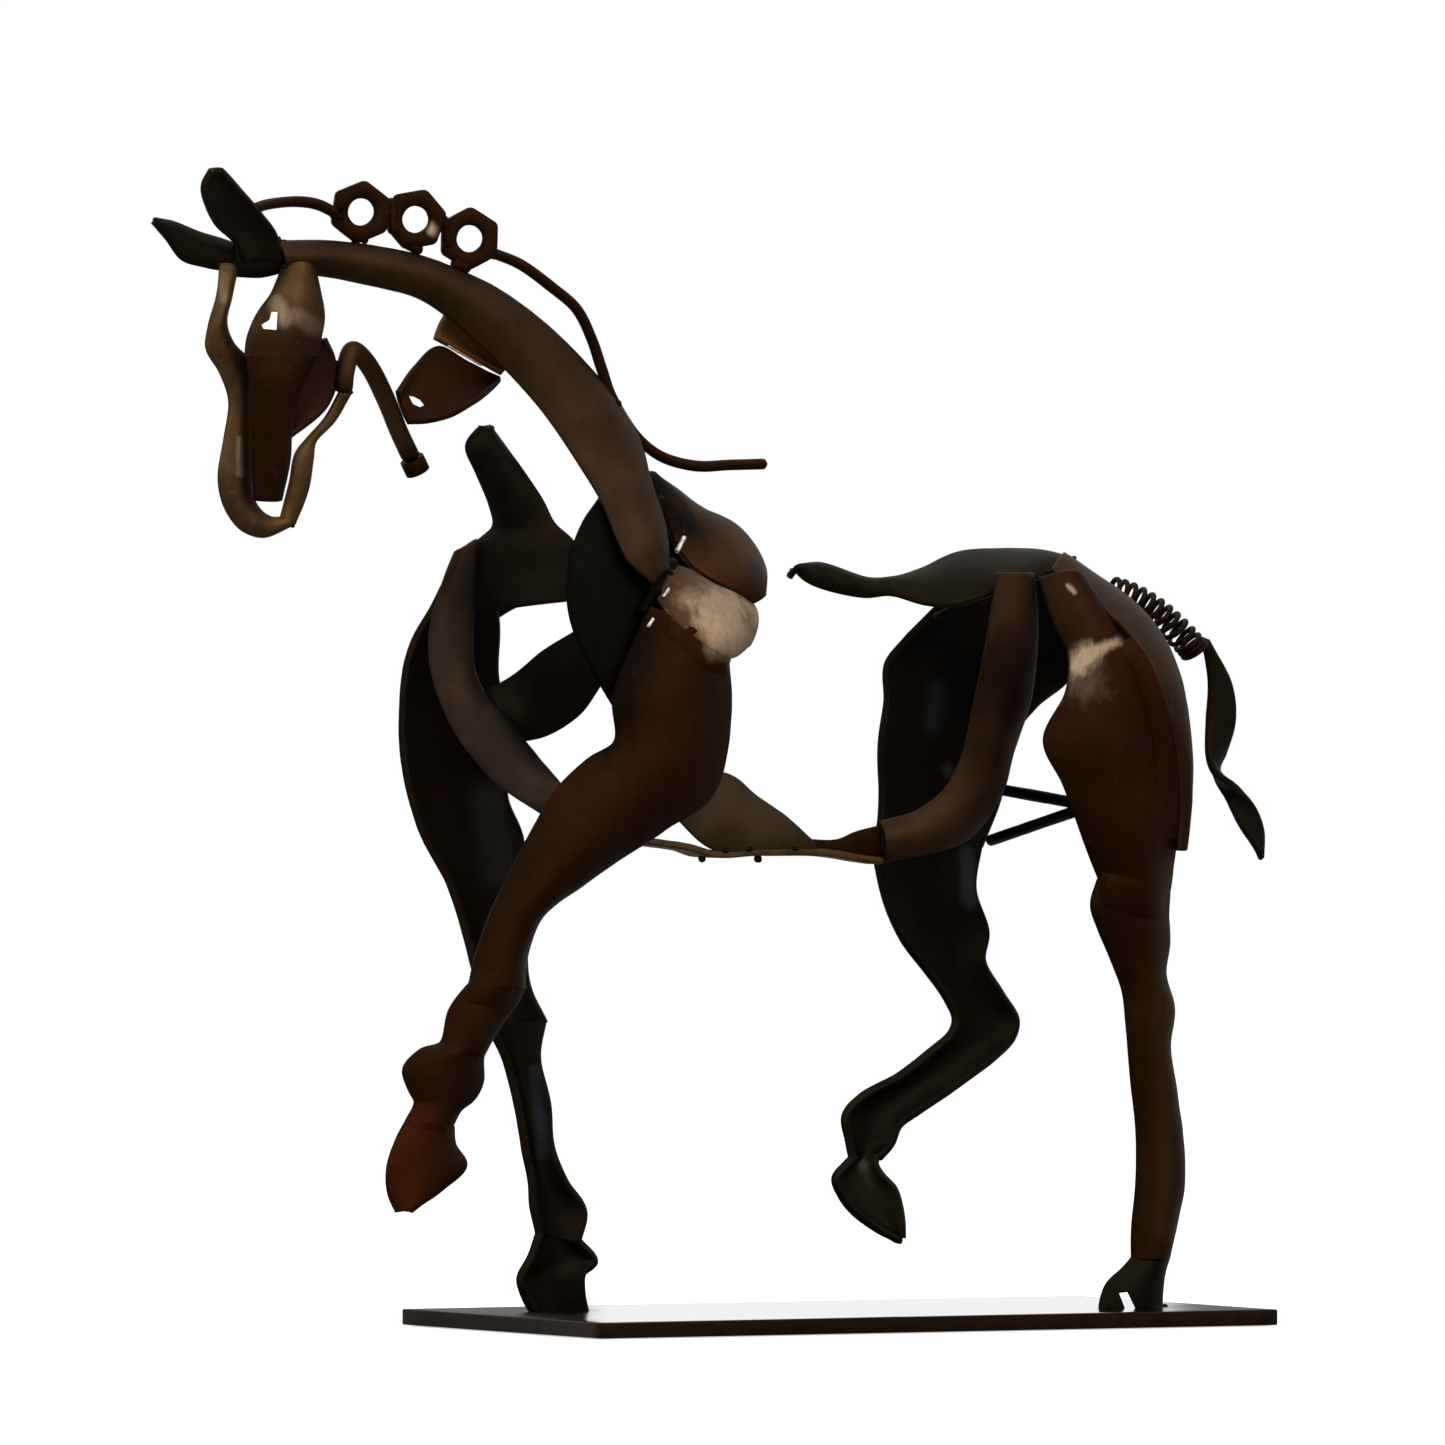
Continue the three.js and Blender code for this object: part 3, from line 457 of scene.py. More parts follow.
def formed(node, finish, rails, crown, thickness, openings=(), flush=""):
    """A sheet between two edges, which are given as points in space"""
    spans = [(b - a).length for rail in rails for a, b in zip(rail, rail[1:])]
    edges = [smooth_line(rail, max(2, math.ceil(max(spans) / FINE))) for rail in rails]
    middle = [(a + b) / 2 for a, b in zip(*edges)]
    run = sum((b - a).length for a, b in zip(middle, middle[1:]))
    width = max((b - a).length for a, b in zip(*edges))
    stations = rounded_shares(run, len(middle) - 1)
    across = max(3, math.ceil(width / FINE))

    lines = [cross_line(edges, share) for share in stations]
    centres = [(a + b) / 2 for a, b in lines]
    last = len(centres) - 1
    alongs = [(centres[min(i + 1, last)] - centres[max(i - 1, 0)]).normalized() for i in range(last + 1)]
    facing = sum((along.cross(b - a).y for along, (a, b) in zip(alongs, lines)))
    bulge = crown if facing < 0 else -crown
    grid, depths = [], []
    for share, (start, end), along in zip(stations, lines, alongs):
        reach = (end - start).length
        normal = along.cross(end - start).normalized()
        row, depth = [], []
        for s in rounded_shares(max(reach, 1e-5), across):
            row.append(start.lerp(end, s) + normal * bulge * 4 * s * (1 - s))
            ends = (1 if "start" in flush else share, 1 if "end" in flush else 1 - share)
            depth.append((min(s, 1 - s) * reach, min(ends) * run))
        grid.append(row)
        depths.append(depth)
    return two_faced(node, finish, grid, depths, thickness / 2, openings)


def two_faced(node, finish, grid, depths, half, openings):
    """Gives a grid of points its thickness, leaves out the cells its node lacks, and closes it all round"""
    top, right = len(grid) - 1, len(grid[0]) - 1
    shape = bmesh.new()
    rim_layer = shape.verts.layers.float.new("rim")
    faces = {1: [], -1: []}
    for i, row in enumerate(grid):
        upper, lower = [], []
        for j, point in enumerate(row):
            along = grid[min(i + 1, top)][j] - grid[max(i - 1, 0)][j]
            across = row[min(j + 1, right)] - row[max(j - 1, 0)]
            normal = along.cross(across).normalized()
            side, end = depths[i][j]
            lift = half_thickness(min(side, end), half)
            for made, sign in ((upper, 1), (lower, -1)):
                vert = shape.verts.new(point + normal * (sign * lift + hammered(point)))
                vert[rim_layer] = max(0.0, 1 - side / RIM_WEAR)
                made.append(vert)
        faces[1].append(upper)
        faces[-1].append(lower)

    solid = tree_of(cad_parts[node].data)
    kept = set()
    for i in range(top):
        for j in range(right):
            centre = (grid[i][j] + grid[i + 1][j + 1]) / 2
            if solid.find_nearest(centre)[3] < NODE_REACH:
                kept.add((i, j))
    for i, j in kept:
        ring = [(i, j), (i + 1, j), (i + 1, j + 1), (i, j + 1)]
        shape.faces.new([faces[1][a][b] for a, b in ring])
        shape.faces.new([faces[-1][a][b] for a, b in reversed(ring)])
        beside = [(i, j - 1), (i + 1, j), (i, j + 1), (i - 1, j)]
        for (one, other), cell in zip(zip(ring, ring[1:] + ring[:1]), beside):
            if cell not in kept:
                a, b = faces[1][one[0]][one[1]], faces[1][other[0]][other[1]]
                c, d = faces[-1][other[0]][other[1]], faces[-1][one[0]][one[1]]
                shape.faces.new((b, a, d, c))
    bmesh.ops.delete(shape, geom=[v for v in shape.verts if not v.link_faces], context="VERTS")
    piece = show(node, shape, finish)
    for outline in openings:
        pierce(piece, outline)
    return piece


def pierce(piece, outline):
    """Cuts an opening through a piece, square to the drawing"""
    view = Vector((SIN_ROUND, COS_ROUND, 0)) * CUT_REACH
    cutter_shape = bmesh.new()
    front = [cutter_shape.verts.new(spot(place) - view) for place in outline]
    back = [cutter_shape.verts.new(spot(place) + view) for place in outline]
    cutter_shape.faces.new(front)
    cutter_shape.faces.new(back[::-1])
    for k in range(len(outline)):
        n = (k + 1) % len(outline)
        cutter_shape.faces.new((front[n], front[k], back[k], back[n]))
    bmesh.ops.recalc_face_normals(cutter_shape, faces=cutter_shape.faces[:])
    cutter = placed("opening", cutter_shape)
    cut = piece.modifiers.new("opening", "BOOLEAN")
    cut.object, cut.solver = cutter, "EXACT"
    settled(piece)
    bpy.data.objects.remove(cutter)


def tube(shape, line, radius, sides, taper=0):
    """Skins a line with rings, and closes it with ends that are rounded over taper"""
    rim_layer = shape.verts.layers.float.get("rim") or shape.verts.layers.float.new("rim")
    run = [0.0]
    for a, b in zip(line, line[1:]):
        run.append(run[-1] + (b - a).length)
    across = (line[1] - line[0]).orthogonal().normalized()
    rings = []
    for i, point in enumerate(line):
        along = (line[min(i + 1, len(line) - 1)] - line[max(i - 1, 0)]).normalized()
        across = (across - along * across.dot(along)).normalized()
        other = along.cross(across)
        end = min(run[i], run[-1] - run[i])
        share = 1.0 if end >= taper else 0.45 + 0.55 * math.sqrt(1 - (1 - end / taper) ** 2)
        ring = []
        for k in range(sides):
            angle = 2 * math.pi * k / sides
            out = across * math.cos(angle) + other * math.sin(angle)
            place = point + out * radius * share
            vert = shape.verts.new(place + out * hammered(place) * 0.35)
            vert[rim_layer] = 0.25
            ring.append(vert)
        rings.append(ring)
    for one, other in zip(rings, rings[1:]):
        for k in range(sides):
            n = (k + 1) % sides
            shape.faces.new((one[k], one[n], other[n], other[k]))
    shape.faces.new(rings[0][::-1])
    shape.faces.new(rings[-1])


def rod(node, finish, route, diameter, sides=20):
    """A bent round rod"""
    points = [spot(place) for place in route]
    spans = [(b - a).length for a, b in zip(points, points[1:])]
    points[0] += (points[0] - points[1]).normalized() * OVERLAP
    points[-1] += (points[-1] - points[-2]).normalized() * OVERLAP
    line = smooth_line(points, max(4, math.ceil(max(spans) / ROD_FINE)))
    shape = bmesh.new()
    tube(shape, line, diameter / 2, sides, taper=0.35 * diameter)
    return show(node, shape, finish)


def hexagon(node, finish, place, flats, height, bore=0.0):
    """A chamfered hexagon, with a threaded bore if it has one; place turns and moves it"""
    shape = bmesh.new()
    rim_layer = shape.verts.layers.float.new("rim")
    apothem, half, around = flats / 2, height / 2, 72
    inner = CHAMFER_FROM * apothem
    columns = []
    for k in range(around):
        angle = 2 * math.pi * k / around
        corner = min(apothem / math.cos((angle + math.pi / 6) % (math.pi / 3) - math.pi / 6), 1.12 * apothem)
        shoulder = half - (corner - inner) * math.tan(math.radians(30))
        upper = [(inner, half, 0.4), (corner - CREASE, shoulder, 0.8)]
        upper.append((corner, shoulder - 0.12 * MM, 0.9))
        profile = [*upper, (corner, 0, 0.1), *((radius, -z, rim) for radius, z, rim in reversed(upper))]
        if bore:
            profile.append((bore / 2 + 0.5 * MM, -half, 0.7))
            for step in range(17):
                z = -half + 0.3 * MM + (height - 0.6 * MM) * step / 16
                turn = (z / NUT_PITCH + k / around) % 1
                profile.append((bore / 2 + abs(turn - 0.5) * 0.7 * MM, z, 0.3))
            profile.append((bore / 2 + 0.5 * MM, half, 0.7))
        column = []
        for radius, z, rim in profile:
            point = Vector((radius * math.cos(angle), radius * math.sin(angle), z))
            vert = shape.verts.new(point)
            vert[rim_layer] = rim
            column.append(vert)
        columns.append(column)
    for one, other in zip(columns, columns[1:] + columns[:1]):
        ring = list(zip(one, other))
        for (a, b), (c, d) in zip(ring, ring[1:] + (ring[:1] if bore else [])):
            shape.faces.new((a, c, d, b))
    if not bore:
        shape.faces.new([column[0] for column in columns])
        shape.faces.new([column[-1] for column in reversed(columns)])
    bmesh.ops.transform(shape, matrix=place, verts=shape.verts)
    for vert in shape.verts:
        vert.co += Vector((1, 1, 1)) * hammered(vert.co) * 0.25
    return show(node, shape, finish)


def coil(node, finish, route, across, wire, turns):
    """A coil spring round a route"""
    axis = smooth_line([spot(place) for place in route], 60)
    radius, side, steps = (across - wire) / 2, Vector((0, 1, 0)), turns * 30
    line = []
    for i in range(steps + 1):
        at = i / steps * (len(axis) - 1)
        k = min(int(at), len(axis) - 2)
        normal = side.cross(axis[k + 1] - axis[k]).normalized()
        angle = 2 * math.pi * turns * i / steps
        out = side * math.cos(angle) + normal * math.sin(angle)
        line.append(axis[k].lerp(axis[k + 1], at - k) + out * radius)
    shape = bmesh.new()
    tube(shape, line, wire / 2, 10, taper=0.4 * MM)
    return show(node, shape, finish)


def slab(node, finish):
    """The base plate: a flat rectangle with its edges eased"""
    low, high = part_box(node)
    shape = bmesh.new()
    bmesh.ops.create_cube(shape, size=1)
    for vert in shape.verts:
        vert.co = [b if c > 0 else a for c, a, b in zip(vert.co, low, high)]
    edges = shape.edges[:]
    bmesh.ops.bevel(shape, geom=edges, offset=EASED, segments=3, affect="EDGES", profile=0.5)
    for axis in (0, 1):
        for k in range(1, 30):
            cut = low[axis] + (high[axis] - low[axis]) * k / 30
            point, normal = Vector((0, 0, 0)), Vector((0, 0, 0))
            point[axis], normal[axis] = cut, 1
            geom = shape.verts[:] + shape.edges[:] + shape.faces[:]
            bmesh.ops.bisect_plane(shape, geom=geom, plane_co=point, plane_no=normal)
    rim_layer = shape.verts.layers.float.new("rim")
    for vert in shape.verts:
        inward = min(min(vert.co[a] - low[a], high[a] - vert.co[a]) for a in (0, 1))
        vert[rim_layer] = max(0.0, 1 - inward / RIM_WEAR) * 0.8
    return show(node, shape, finish)


# Pieces

slab("base_plate", BASE)

MANE_NUTS = [((-47.8, 109.6), 52), ((-42.4, 108.9), 40), ((-37, 107), 58)]
for count, (place, turn) in enumerate(MANE_NUTS, 1):
    stood = Matrix.Translation(spot(place)) @ Matrix.Rotation(-NUT_SWING, 4, "Z")
    stood = stood @ Matrix.Rotation(math.pi / 2, 4, "X") @ Matrix.Rotation(math.radians(turn), 4, "Z")
    hexagon(f"mane_nut_{count}", BROWN, stood, NUT_FLATS, NUT_HEIGHT, NUT_BORE)

rod("mane_rod_front", BROWN,
    [(-58.2, 109.9, -2), (-57, 110.3, -1), (-54, 110.6), (-52, 110.3), (-50.2, 109.4)],
    MANE_ROD)
rod("mane_rod_rear", BROWN,
    [(-34.7, 105.6), (-32, 104.5), (-28.8, 102.2), (-26.3, 100), (-24.8, 97), (-23.8, 94), (-22.8, 91.2),
     (-20.4, 87.4), (-18, 85.4), (-14.5, 84.4), (-11, 84.5), (-7.6, 84.6)],
    MANE_ROD)

THROAT_ROUTE = [
    (-49.5, 91.8, -1.6), (-49.3, 93.8, -1.6), (-48.6, 95.8, -1.3), (-47.2, 94.6, -1), (-45.4, 91.2, -0.6),
    (-44.1, 88, -0.4), (-42.8, 85.2, -0.2),
]
rod("throat_rod", BROWN, THROAT_ROUTE, THROAT_ROD, sides=28)
before, end = (spot(place) for place in THROAT_ROUTE[-2:])
way = (end - before).normalized()
turned = way.to_track_quat("Z", "Y").to_matrix().to_4x4()
stood = Matrix.Translation(end + way * (SEAM + HEAD_HEIGHT / 2)) @ turned
hexagon("throat_rod_head", BROWN, stood, HEAD_FLATS, HEAD_HEIGHT)

sheet("neck_band", OLIVE,
    [(-56.2, 106.5), (-51.5, 106.6), (-43.8, 105.6), (-40, 104.5), (-33.5, 101.5), (-26.5, 95.6),
     (-21.8, 89.8), (-20, 86.2, -1), (-19.2, 83, -3), (-17.6, 78, -6), (-17.4, 73.9, -8.8)],
    [(-55.3, 103.4), (-51.8, 103.3), (-44.8, 101.9), (-41.8, 100.9), (-36.2, 96.6, -0.5), (-30.3, 90.4, -1.5),
     (-25.8, 84, -3.5), (-24, 81, -4.5), (-22.7, 77.8, -6.5), (-21.2, 74.8, -8.4), (-18.8, 72.6, -9.5)],
    crown=1.25)

sheet("poll_plate", FAR,
    [(-60.2, 106.4, 1), (-57.8, 106.7, 0.5), (-55.5, 106.7)],
    [(-60, 103.2, 1), (-57.8, 103.1, 0.5), (-55.3, 103.7)],
    crown=0.55)

sheet("ear_near", FAR,
    [(-59, 104.8, -1.2), (-60.4, 106.7, -1.6), (-62.1, 108.2, -2.2), (-63.1, 110.2, -3), (-63.4, 112, -3.6),
     (-62.6, 113.3, -4)],
    [(-55.6, 104.8, -1.2), (-56, 107.2, -1.6), (-57.4, 109.2, -2.2), (-59, 111.1, -3), (-60.4, 112.6, -3.6),
     (-61.3, 113.4, -4)],
    crown=-0.75)

sheet("ear_far", FAR,
    [(-68.2, 108.8, 4), (-66.5, 108.5, 3.6), (-64, 107.5, 3), (-61.5, 106.7, 2.2), (-59, 105.8, 1.4)],
    [(-68.4, 108.3, 4), (-67.2, 106.9, 3.6), (-65.6, 104.8, 3), (-63.3, 104.1, 2.2), (-60, 103.7, 1.4)],
    crown=0.75)

EYE_OPENING = [(-56.6, 99.7), (-56, 99.7), (-56.1, 97.9), (-57.4, 98), (-57.6, 98.4), (-56.8, 98.9)]
sheet("face_plate", TAN,
    [(-55.6, 103.8, -0.6), (-56.7, 101.2, -2.2), (-58.3, 99, -3), (-59.1, 97), (-59.3, 95.4)],
    [(-52.5, 103.8, -0.9), (-51.9, 101.2, -2.2), (-51.5, 99, -3), (-51.8, 97), (-52.2, 95.4)],
    crown=1.15, openings=[EYE_OPENING], flush="end", beside=-3.2)

sheet("muzzle_plate", BROWN,
    [(-59.2, 95.2, -3.2), (-58.8, 92.5, -3), (-58.6, 89, -2.5), (-58.6, 85, -2), (-58.3, 81.1, -1.6)],
    [(-52.2, 95.2, -3.2), (-53.7, 92.5, -3), (-54.7, 88.5, -2.5), (-55, 84.8, -2), (-55.8, 81.1, -1.6)],
    crown=1.05, flush="start")

sheet("nose_strap", TAN,
    [(-61.8, 104.2, 1), (-62.1, 101, 0.5), (-62.9, 98.2), (-63.2, 96), (-61.8, 93.5), (-60.9, 90.8),
     (-61.4, 87), (-62, 83), (-61.4, 80.2), (-59.8, 78), (-57.7, 77.3), (-55.1, 78.3)],
    [(-60.1, 104, 1), (-60.8, 101.1, 0.5), (-61.3, 98.5), (-60.4, 96.3), (-59, 94.8, -0.4),
     (-58.6, 91.5, -0.4), (-58.6, 87.5, -0.2), (-58.7, 84), (-58.6, 81.2), (-57.8, 79.8), (-56.7, 79.1),
     (-55.3, 79.2)],
    crown=0.5)

sheet("jaw_bar", TAN,
    [(-54.4, 78.7), (-53.2, 81.6), (-52.7, 84.8), (-52.3, 87), (-50.4, 89, -0.7), (-49, 91.4, -1.4)],
    [(-55.9, 78.8), (-54.9, 82.8), (-54.4, 85.4), (-53.2, 87), (-51.4, 89.1, -0.7), (-50, 91.6, -1.4)],
    crown=0.4)

sheet("jowl_plate", RUST,
    [(-52.4, 96.5, -1.6), (-53.6, 94.8, -1.4), (-54.4, 92.5, -1.2), (-54.8, 90, -1), (-55, 87.5, -0.8)],
    [(-51.1, 96.7, -1.6), (-50.3, 95.1, -1.4), (-50.1, 92.6, -1.2), (-51.1, 90.1, -1), (-54.5, 87.4, -0.8)],
    crown=-0.55)

sheet("throat_flange", FLANGE_LIGHTENED,
    [(-38.8, 100), (-36, 97.8), (-32.8, 94.6)],
    [(-40.3, 96.9), (-37.2, 95.3), (-34, 93.6)],
    crown=-0.4, beside=1.2)

LEAF_OPENING = [(-43, 91.3), (-42.5, 91.2), (-41.9, 90.9), (-41.5, 90.4), (-41.9, 90.2), (-42.6, 90.5)]
sheet("throat_leaf", BROWN,
    [(-44, 91.9), (-42.4, 94.4, 0.8), (-40.2, 96.3, 1.2), (-37.2, 94.8, 1.2), (-34.1, 93.3, 1.2)],
    [(-42.9, 88.6, -1.5), (-41, 88.7, -2.4), (-38.8, 89.3, -2.8), (-36.2, 90.9, -2), (-34, 92.9, 0.9)],
    crown=-0.8, openings=[LEAF_OPENING])

limb("near_forearm", BROWN,
    [(-19.2, 70.2, -9.4), (-22.7, 61.4, -10.5), (-22.6, 56.8), (-25.5, 54.8), (-28.4, 52), (-30.5, 48.5),
     (-32.7, 44.2, -10.8), (-34.8, 39.8, -10.5), (-36.4, 35.3, -10), (-36.9, 33, -10)],
    [(-11.4, 64.2, -9), (-11.1, 61, -10.3), (-11.5, 55.8), (-13, 51.5), (-17.5, 48.3), (-21.5, 45.7),
     (-26, 42.6, -10.8), (-30, 39.5, -10.5), (-31.5, 35.5, -10), (-31.7, 32.5, -10)],
    crown=2.35, flush="end", beside=-11)

limb("near_fore_cannon", BROWN,
    [(-37, 32.7), (-38, 31.6), (-39.1, 29.9), (-39.9, 26.8), (-42, 26, -9.9), (-43.6, 24.3, -9.8),
     (-43.1, 22.5, -9.7), (-42.4, 21, -9.6), (-43.2, 19.3, -9.5)],
    [(-31.7, 32.3), (-32.3, 31), (-33.7, 29.2), (-35.3, 26.7), (-35.8, 25.5, -9.9), (-35.8, 23, -9.8),
     (-36.6, 21.4, -9.7), (-38, 20.3, -9.6), (-38.8, 18.8, -9.5)],
    crown=1.6, flush="start end", beside=-10)

limb("near_fore_hoof", BROWN,
    [(-43.4, 18.9), (-44.3, 17.2), (-45.2, 14.5), (-45.1, 12), (-44.3, 10.3)],
    [(-38.7, 18.3), (-38.5, 16.7), (-37.4, 14.7), (-39.6, 12.5), (-43, 10.4)],
    crown=1.4, flush="start", beside=-9.5)

limb("far_forearm", FAR,
    [(-38.2, 75.2, 7), (-40.4, 70.7, 9), (-42.8, 66.3), (-43.8, 61, 10.5), (-43.5, 54.5, 10.5), (-41.8, 48),
     (-39.2, 42.8, 9.5), (-37.5, 38, 9), (-36, 32.5, 8.5), (-34.9, 28, 8)],
    [(-35.5, 73.5, 7.5), (-34.1, 69, 9), (-34.1, 63), (-32.5, 57.5, 10.5), (-33.2, 51.5, 10.5), (-31.7, 47.5),
     (-31, 42, 9.5), (-31.3, 37, 9), (-31, 32.5, 8.5), (-29.4, 29, 8)],
    crown=-2, flush="end", beside=10)

limb("far_fore_cannon", FAR,
    [(-34.8, 27.8), (-33.3, 24.6), (-32.3, 20.5), (-31.5, 16), (-30.9, 13), (-30.8, 10.5), (-30.2, 7.8)],
    [(-29.4, 28.8), (-30, 25.2), (-29, 20.7), (-28.6, 16.2), (-27.2, 12.8), (-25.3, 9.8), (-25.9, 7)],
    crown=-1.4, flush="start end", beside=8)

limb("far_fore_hoof", FAR,
    [(-30.2, 7.6), (-31, 5.4), (-32.1, 3.2), (-31.6, 1.2), (-30.4, -0.8)],
    [(-25.9, 6.8), (-24.2, 4.8), (-25.4, 3.6), (-25.5, 1.8), (-25, -0.8)],
    crown=-1.5, flush="start", beside=8)

sheet("near_shoulder_plate", DARK,
    [(-24, 81, -3), (-25.7, 78.8, -4), (-27.1, 75, -5.5), (-27.3, 71, -6.5), (-26.5, 67.5, -7.5),
     (-24.1, 62.7, -8.6), (-22.4, 59.8, -8.9)],
    [(-20.5, 81.5, -3.5), (-18.5, 77, -5.5), (-17.2, 73.5, -7), (-17.3, 70, -8), (-17.3, 66.5, -8.5),
     (-16.5, 62, -9), (-16, 59, -9)],
    crown=0.55)

sheet("withers_plate", WITHERS,
    [(-19.4, 83.4), (-16.9, 82.2), (-14, 80.1), (-10.7, 78.5), (-8.6, 76.3, -0.5), (-7.6, 73.7, -2),
     (-8.4, 71.5, -4)],
    [(-19.2, 82, -1.5), (-17.5, 78.5, -3.6), (-16.3, 76, -5), (-14.8, 74.2, -6.5), (-12.8, 72.8, -7.3),
     (-10.5, 71.7, -7), (-9, 70.8, -6)],
    crown=1.05)

sheet("withers_lower_plate", HIGHLIT_STEEL,
    [(-17, 74.4, -6.6), (-15, 73.8, -7.4), (-12.8, 72.5, -7.9), (-10.4, 71.4, -7.6), (-8.9, 70.4, -6.6)],
    [(-18.4, 71, -9.4), (-16.4, 68.4, -11.2), (-13.8, 66.4, -12), (-11.4, 65.1, -12), (-9.3, 66.4, -9.6)],
    crown=0.85)

sheet("withers_far_plate", FAR,
    [(-18.2, 82.6), (-15, 80.8), (-11.8, 78.8), (-9.5, 76.2), (-8.3, 72.8)],
    [(-21.5, 79, 6), (-22, 75, 8.5), (-21, 71, 9.5), (-18, 68, 9.5), (-14, 67, 8.5)],
    crown=-1.05, beside=1)

sheet("far_shoulder_band", FAR,
    [(-36.5, 75.3, 8.4), (-31, 76.5, 10), (-26, 76.5, 10), (-21.5, 77.5, 8.6)],
    [(-36, 67.8, 8.8), (-32, 70.4, 10.1), (-28, 71.2, 10.2), (-21.8, 72.6, 9.2)],
    crown=-0.8)

sheet("chest_plate", FAR,
    [(-36.1, 88), (-37.4, 86.4), (-36.4, 83.8, 0.5), (-35, 80.5, 1.5), (-34.7, 78.2, 3), (-37, 75.8, 4.6),
     (-37.2, 73, 5.6), (-36.2, 69.8, 6)],
    [(-35.2, 88.1), (-34, 86.7), (-32, 84.2, -0.5), (-29.7, 81, -1.5), (-28.4, 78.6, -2.5), (-26.5, 76.8, -4),
     (-25, 74, -5), (-25.5, 71.3, -6)],
    crown=1.05)

sheet("front_band", FRONT,
    [(-38.4, 75.5, 4.6), (-39.9, 72, 5.4), (-40.9, 68.5, 5.8), (-41, 65, 5.4), (-40.2, 61.5, 4),
     (-38.5, 57.8, 1.5), (-36.2, 54.7, -2), (-33.5, 52, -5.5), (-29.5, 49.5, -8.4)],
    [(-36.3, 76.8, 3), (-36.5, 72, 3.8), (-36.7, 68, 4.2), (-36.6, 64.2, 4), (-35.4, 61.3, 3),
     (-33.2, 58.8, 0.8), (-31, 56.2, -2.4), (-29.2, 54, -5.8), (-27.8, 52.4, -8.6)],
    crown=0.75)

sheet("diagonal_brace", FAR,
    [(-35, 62, 4.2), (-32.5, 63.5, 2.6), (-29.5, 66, -1.5), (-26, 68, -6.2)],
    [(-32.5, 56.8, 2.6), (-29.5, 57.4, 0.6), (-26, 59.5, -3.4), (-23.6, 62.8, -7.8)],
    crown=0.8)

sheet("croup_leaf", CROUP,
    [(-4.7, 74.1), (-2, 74.6), (2.8, 72.9), (5.3, 73), (8.5, 74.1), (12.2, 75.7), (16, 75.9), (20.1, 75.7),
     (23.2, 74.9)],
    [(-4.6, 74), (-3.2, 72.7, -0.8), (2.2, 71.3, -1), (5, 71.4, -1.5), (8.5, 70.5, -3.5), (11.5, 70.4, -5),
     (15, 71.4, -5.6), (19.5, 73, -5.4), (22.3, 73.2, -4)],
    crown=0.8)

sheet("belly_plate", OLIVE,
    [(-13.5, 54, -9), (-11, 53.5, -8), (-8.5, 51.4, -6), (-5.5, 49.2, -3.5), (-3.2, 47, -1.5)],
    [(-16.6, 49.4, -9.2), (-13.6, 46.5, -8), (-10.5, 45.5, -6), (-7, 45.4, -3.5), (-3.4, 45.3, -1.5)],
    crown=0.8)

sheet("flank_link", BROWN,
    [(-3, 47, -1.4), (-0.4, 47, -0.8), (1.5, 47.8, -0.4), (3.8, 48.4)],
    [(-3.2, 45.5, -1.4), (-0.6, 45.1, -0.8), (1.6, 44.8, -0.4), (3.8, 44.7)],
    crown=0.3)

sheet("flank_band", OLIVE,
    [(15.6, 73.5, -6.2), (14.8, 67.8, -6.4), (13.6, 61.7, -4), (12, 54.9, -1.5), (10.3, 51.9, -0.8),
     (7.5, 49.8, -0.4), (4.1, 48.8)],
    [(19.3, 73.5, -6.2), (19.6, 66, -6.4), (19, 61, -4), (17.3, 56, -1.5), (16, 51.5, -0.8), (12.5, 47, -0.4),
     (4.3, 44.9)],
    crown=1.15)

limb("near_thigh", BROWN,
    [(19.9, 73, -6.8), (21.4, 68.6, -7.6), (22.9, 65.4, -8.4), (22.6, 61.8, -9.2), (20.3, 56.9),
     (22.2, 52.8, -10.1), (23.5, 49.5, -10.2), (25, 45.4, -10), (25.9, 43.2)],
    [(24, 71.8, -4.6), (27.5, 68.5, -6.6), (30.5, 64.5, -8.2), (32.5, 61, -9), (34, 57, -9.6), (34, 52, -9.9),
     (33.7, 48, -10.2), (33.1, 43.5, -10), (32.8, 41.9)],
    crown=2.45, flush="end", beside=-9.8)

limb("near_hind_leg", BROWN,
    [(25.7, 42.8, -9.8), (25.1, 40.5, -9.7), (25.8, 38.2, -9.6), (27.2, 35), (28.3, 32), (28.8, 28),
     (29.2, 23), (29.7, 18), (29.7, 12.5), (29.3, 8.2), (29.3, 5.2)],
    [(32.8, 41.5, -9.8), (32.7, 39.5, -9.7), (32.8, 36.5, -9.6), (32.4, 33.5), (33.2, 30), (32.7, 26.2),
     (33.4, 22), (34.1, 17), (34.2, 12.5), (33.5, 8.5), (32.8, 5.4)],
    crown=1.9, flush="start end", beside=-9.5)

HOOF_SLIT = [(28, 1.9), (28.8, 2), (30.2, -0.8), (29, -0.8)]
limb("near_hind_hoof", FAR,
    [(29.3, 5), (28.2, 3.8), (26.6, 2.3), (26, 0.5), (26, -1)],
    [(32.8, 5.2), (32.4, 3.8), (32.2, 2.2), (32.1, 0.5), (32.1, -1)],
    crown=1.5, openings=[HOOF_SLIT], flush="start", beside=-9.5)

limb("far_thigh", FAR,
    [(10, 70.3, 4), (6.7, 67, 8), (4.7, 64.5, 10), (4.7, 61), (4.1, 56.5), (4.2, 51), (3.8, 46.4, 10.3)],
    [(22.6, 72.5, 4), (24.5, 68, 8), (23.4, 63.3, 10), (20, 60.4), (17.4, 57), (16.4, 51.5),
     (14.5, 46.5, 10.3)],
    crown=-2.35, flush="end", beside=10.5)

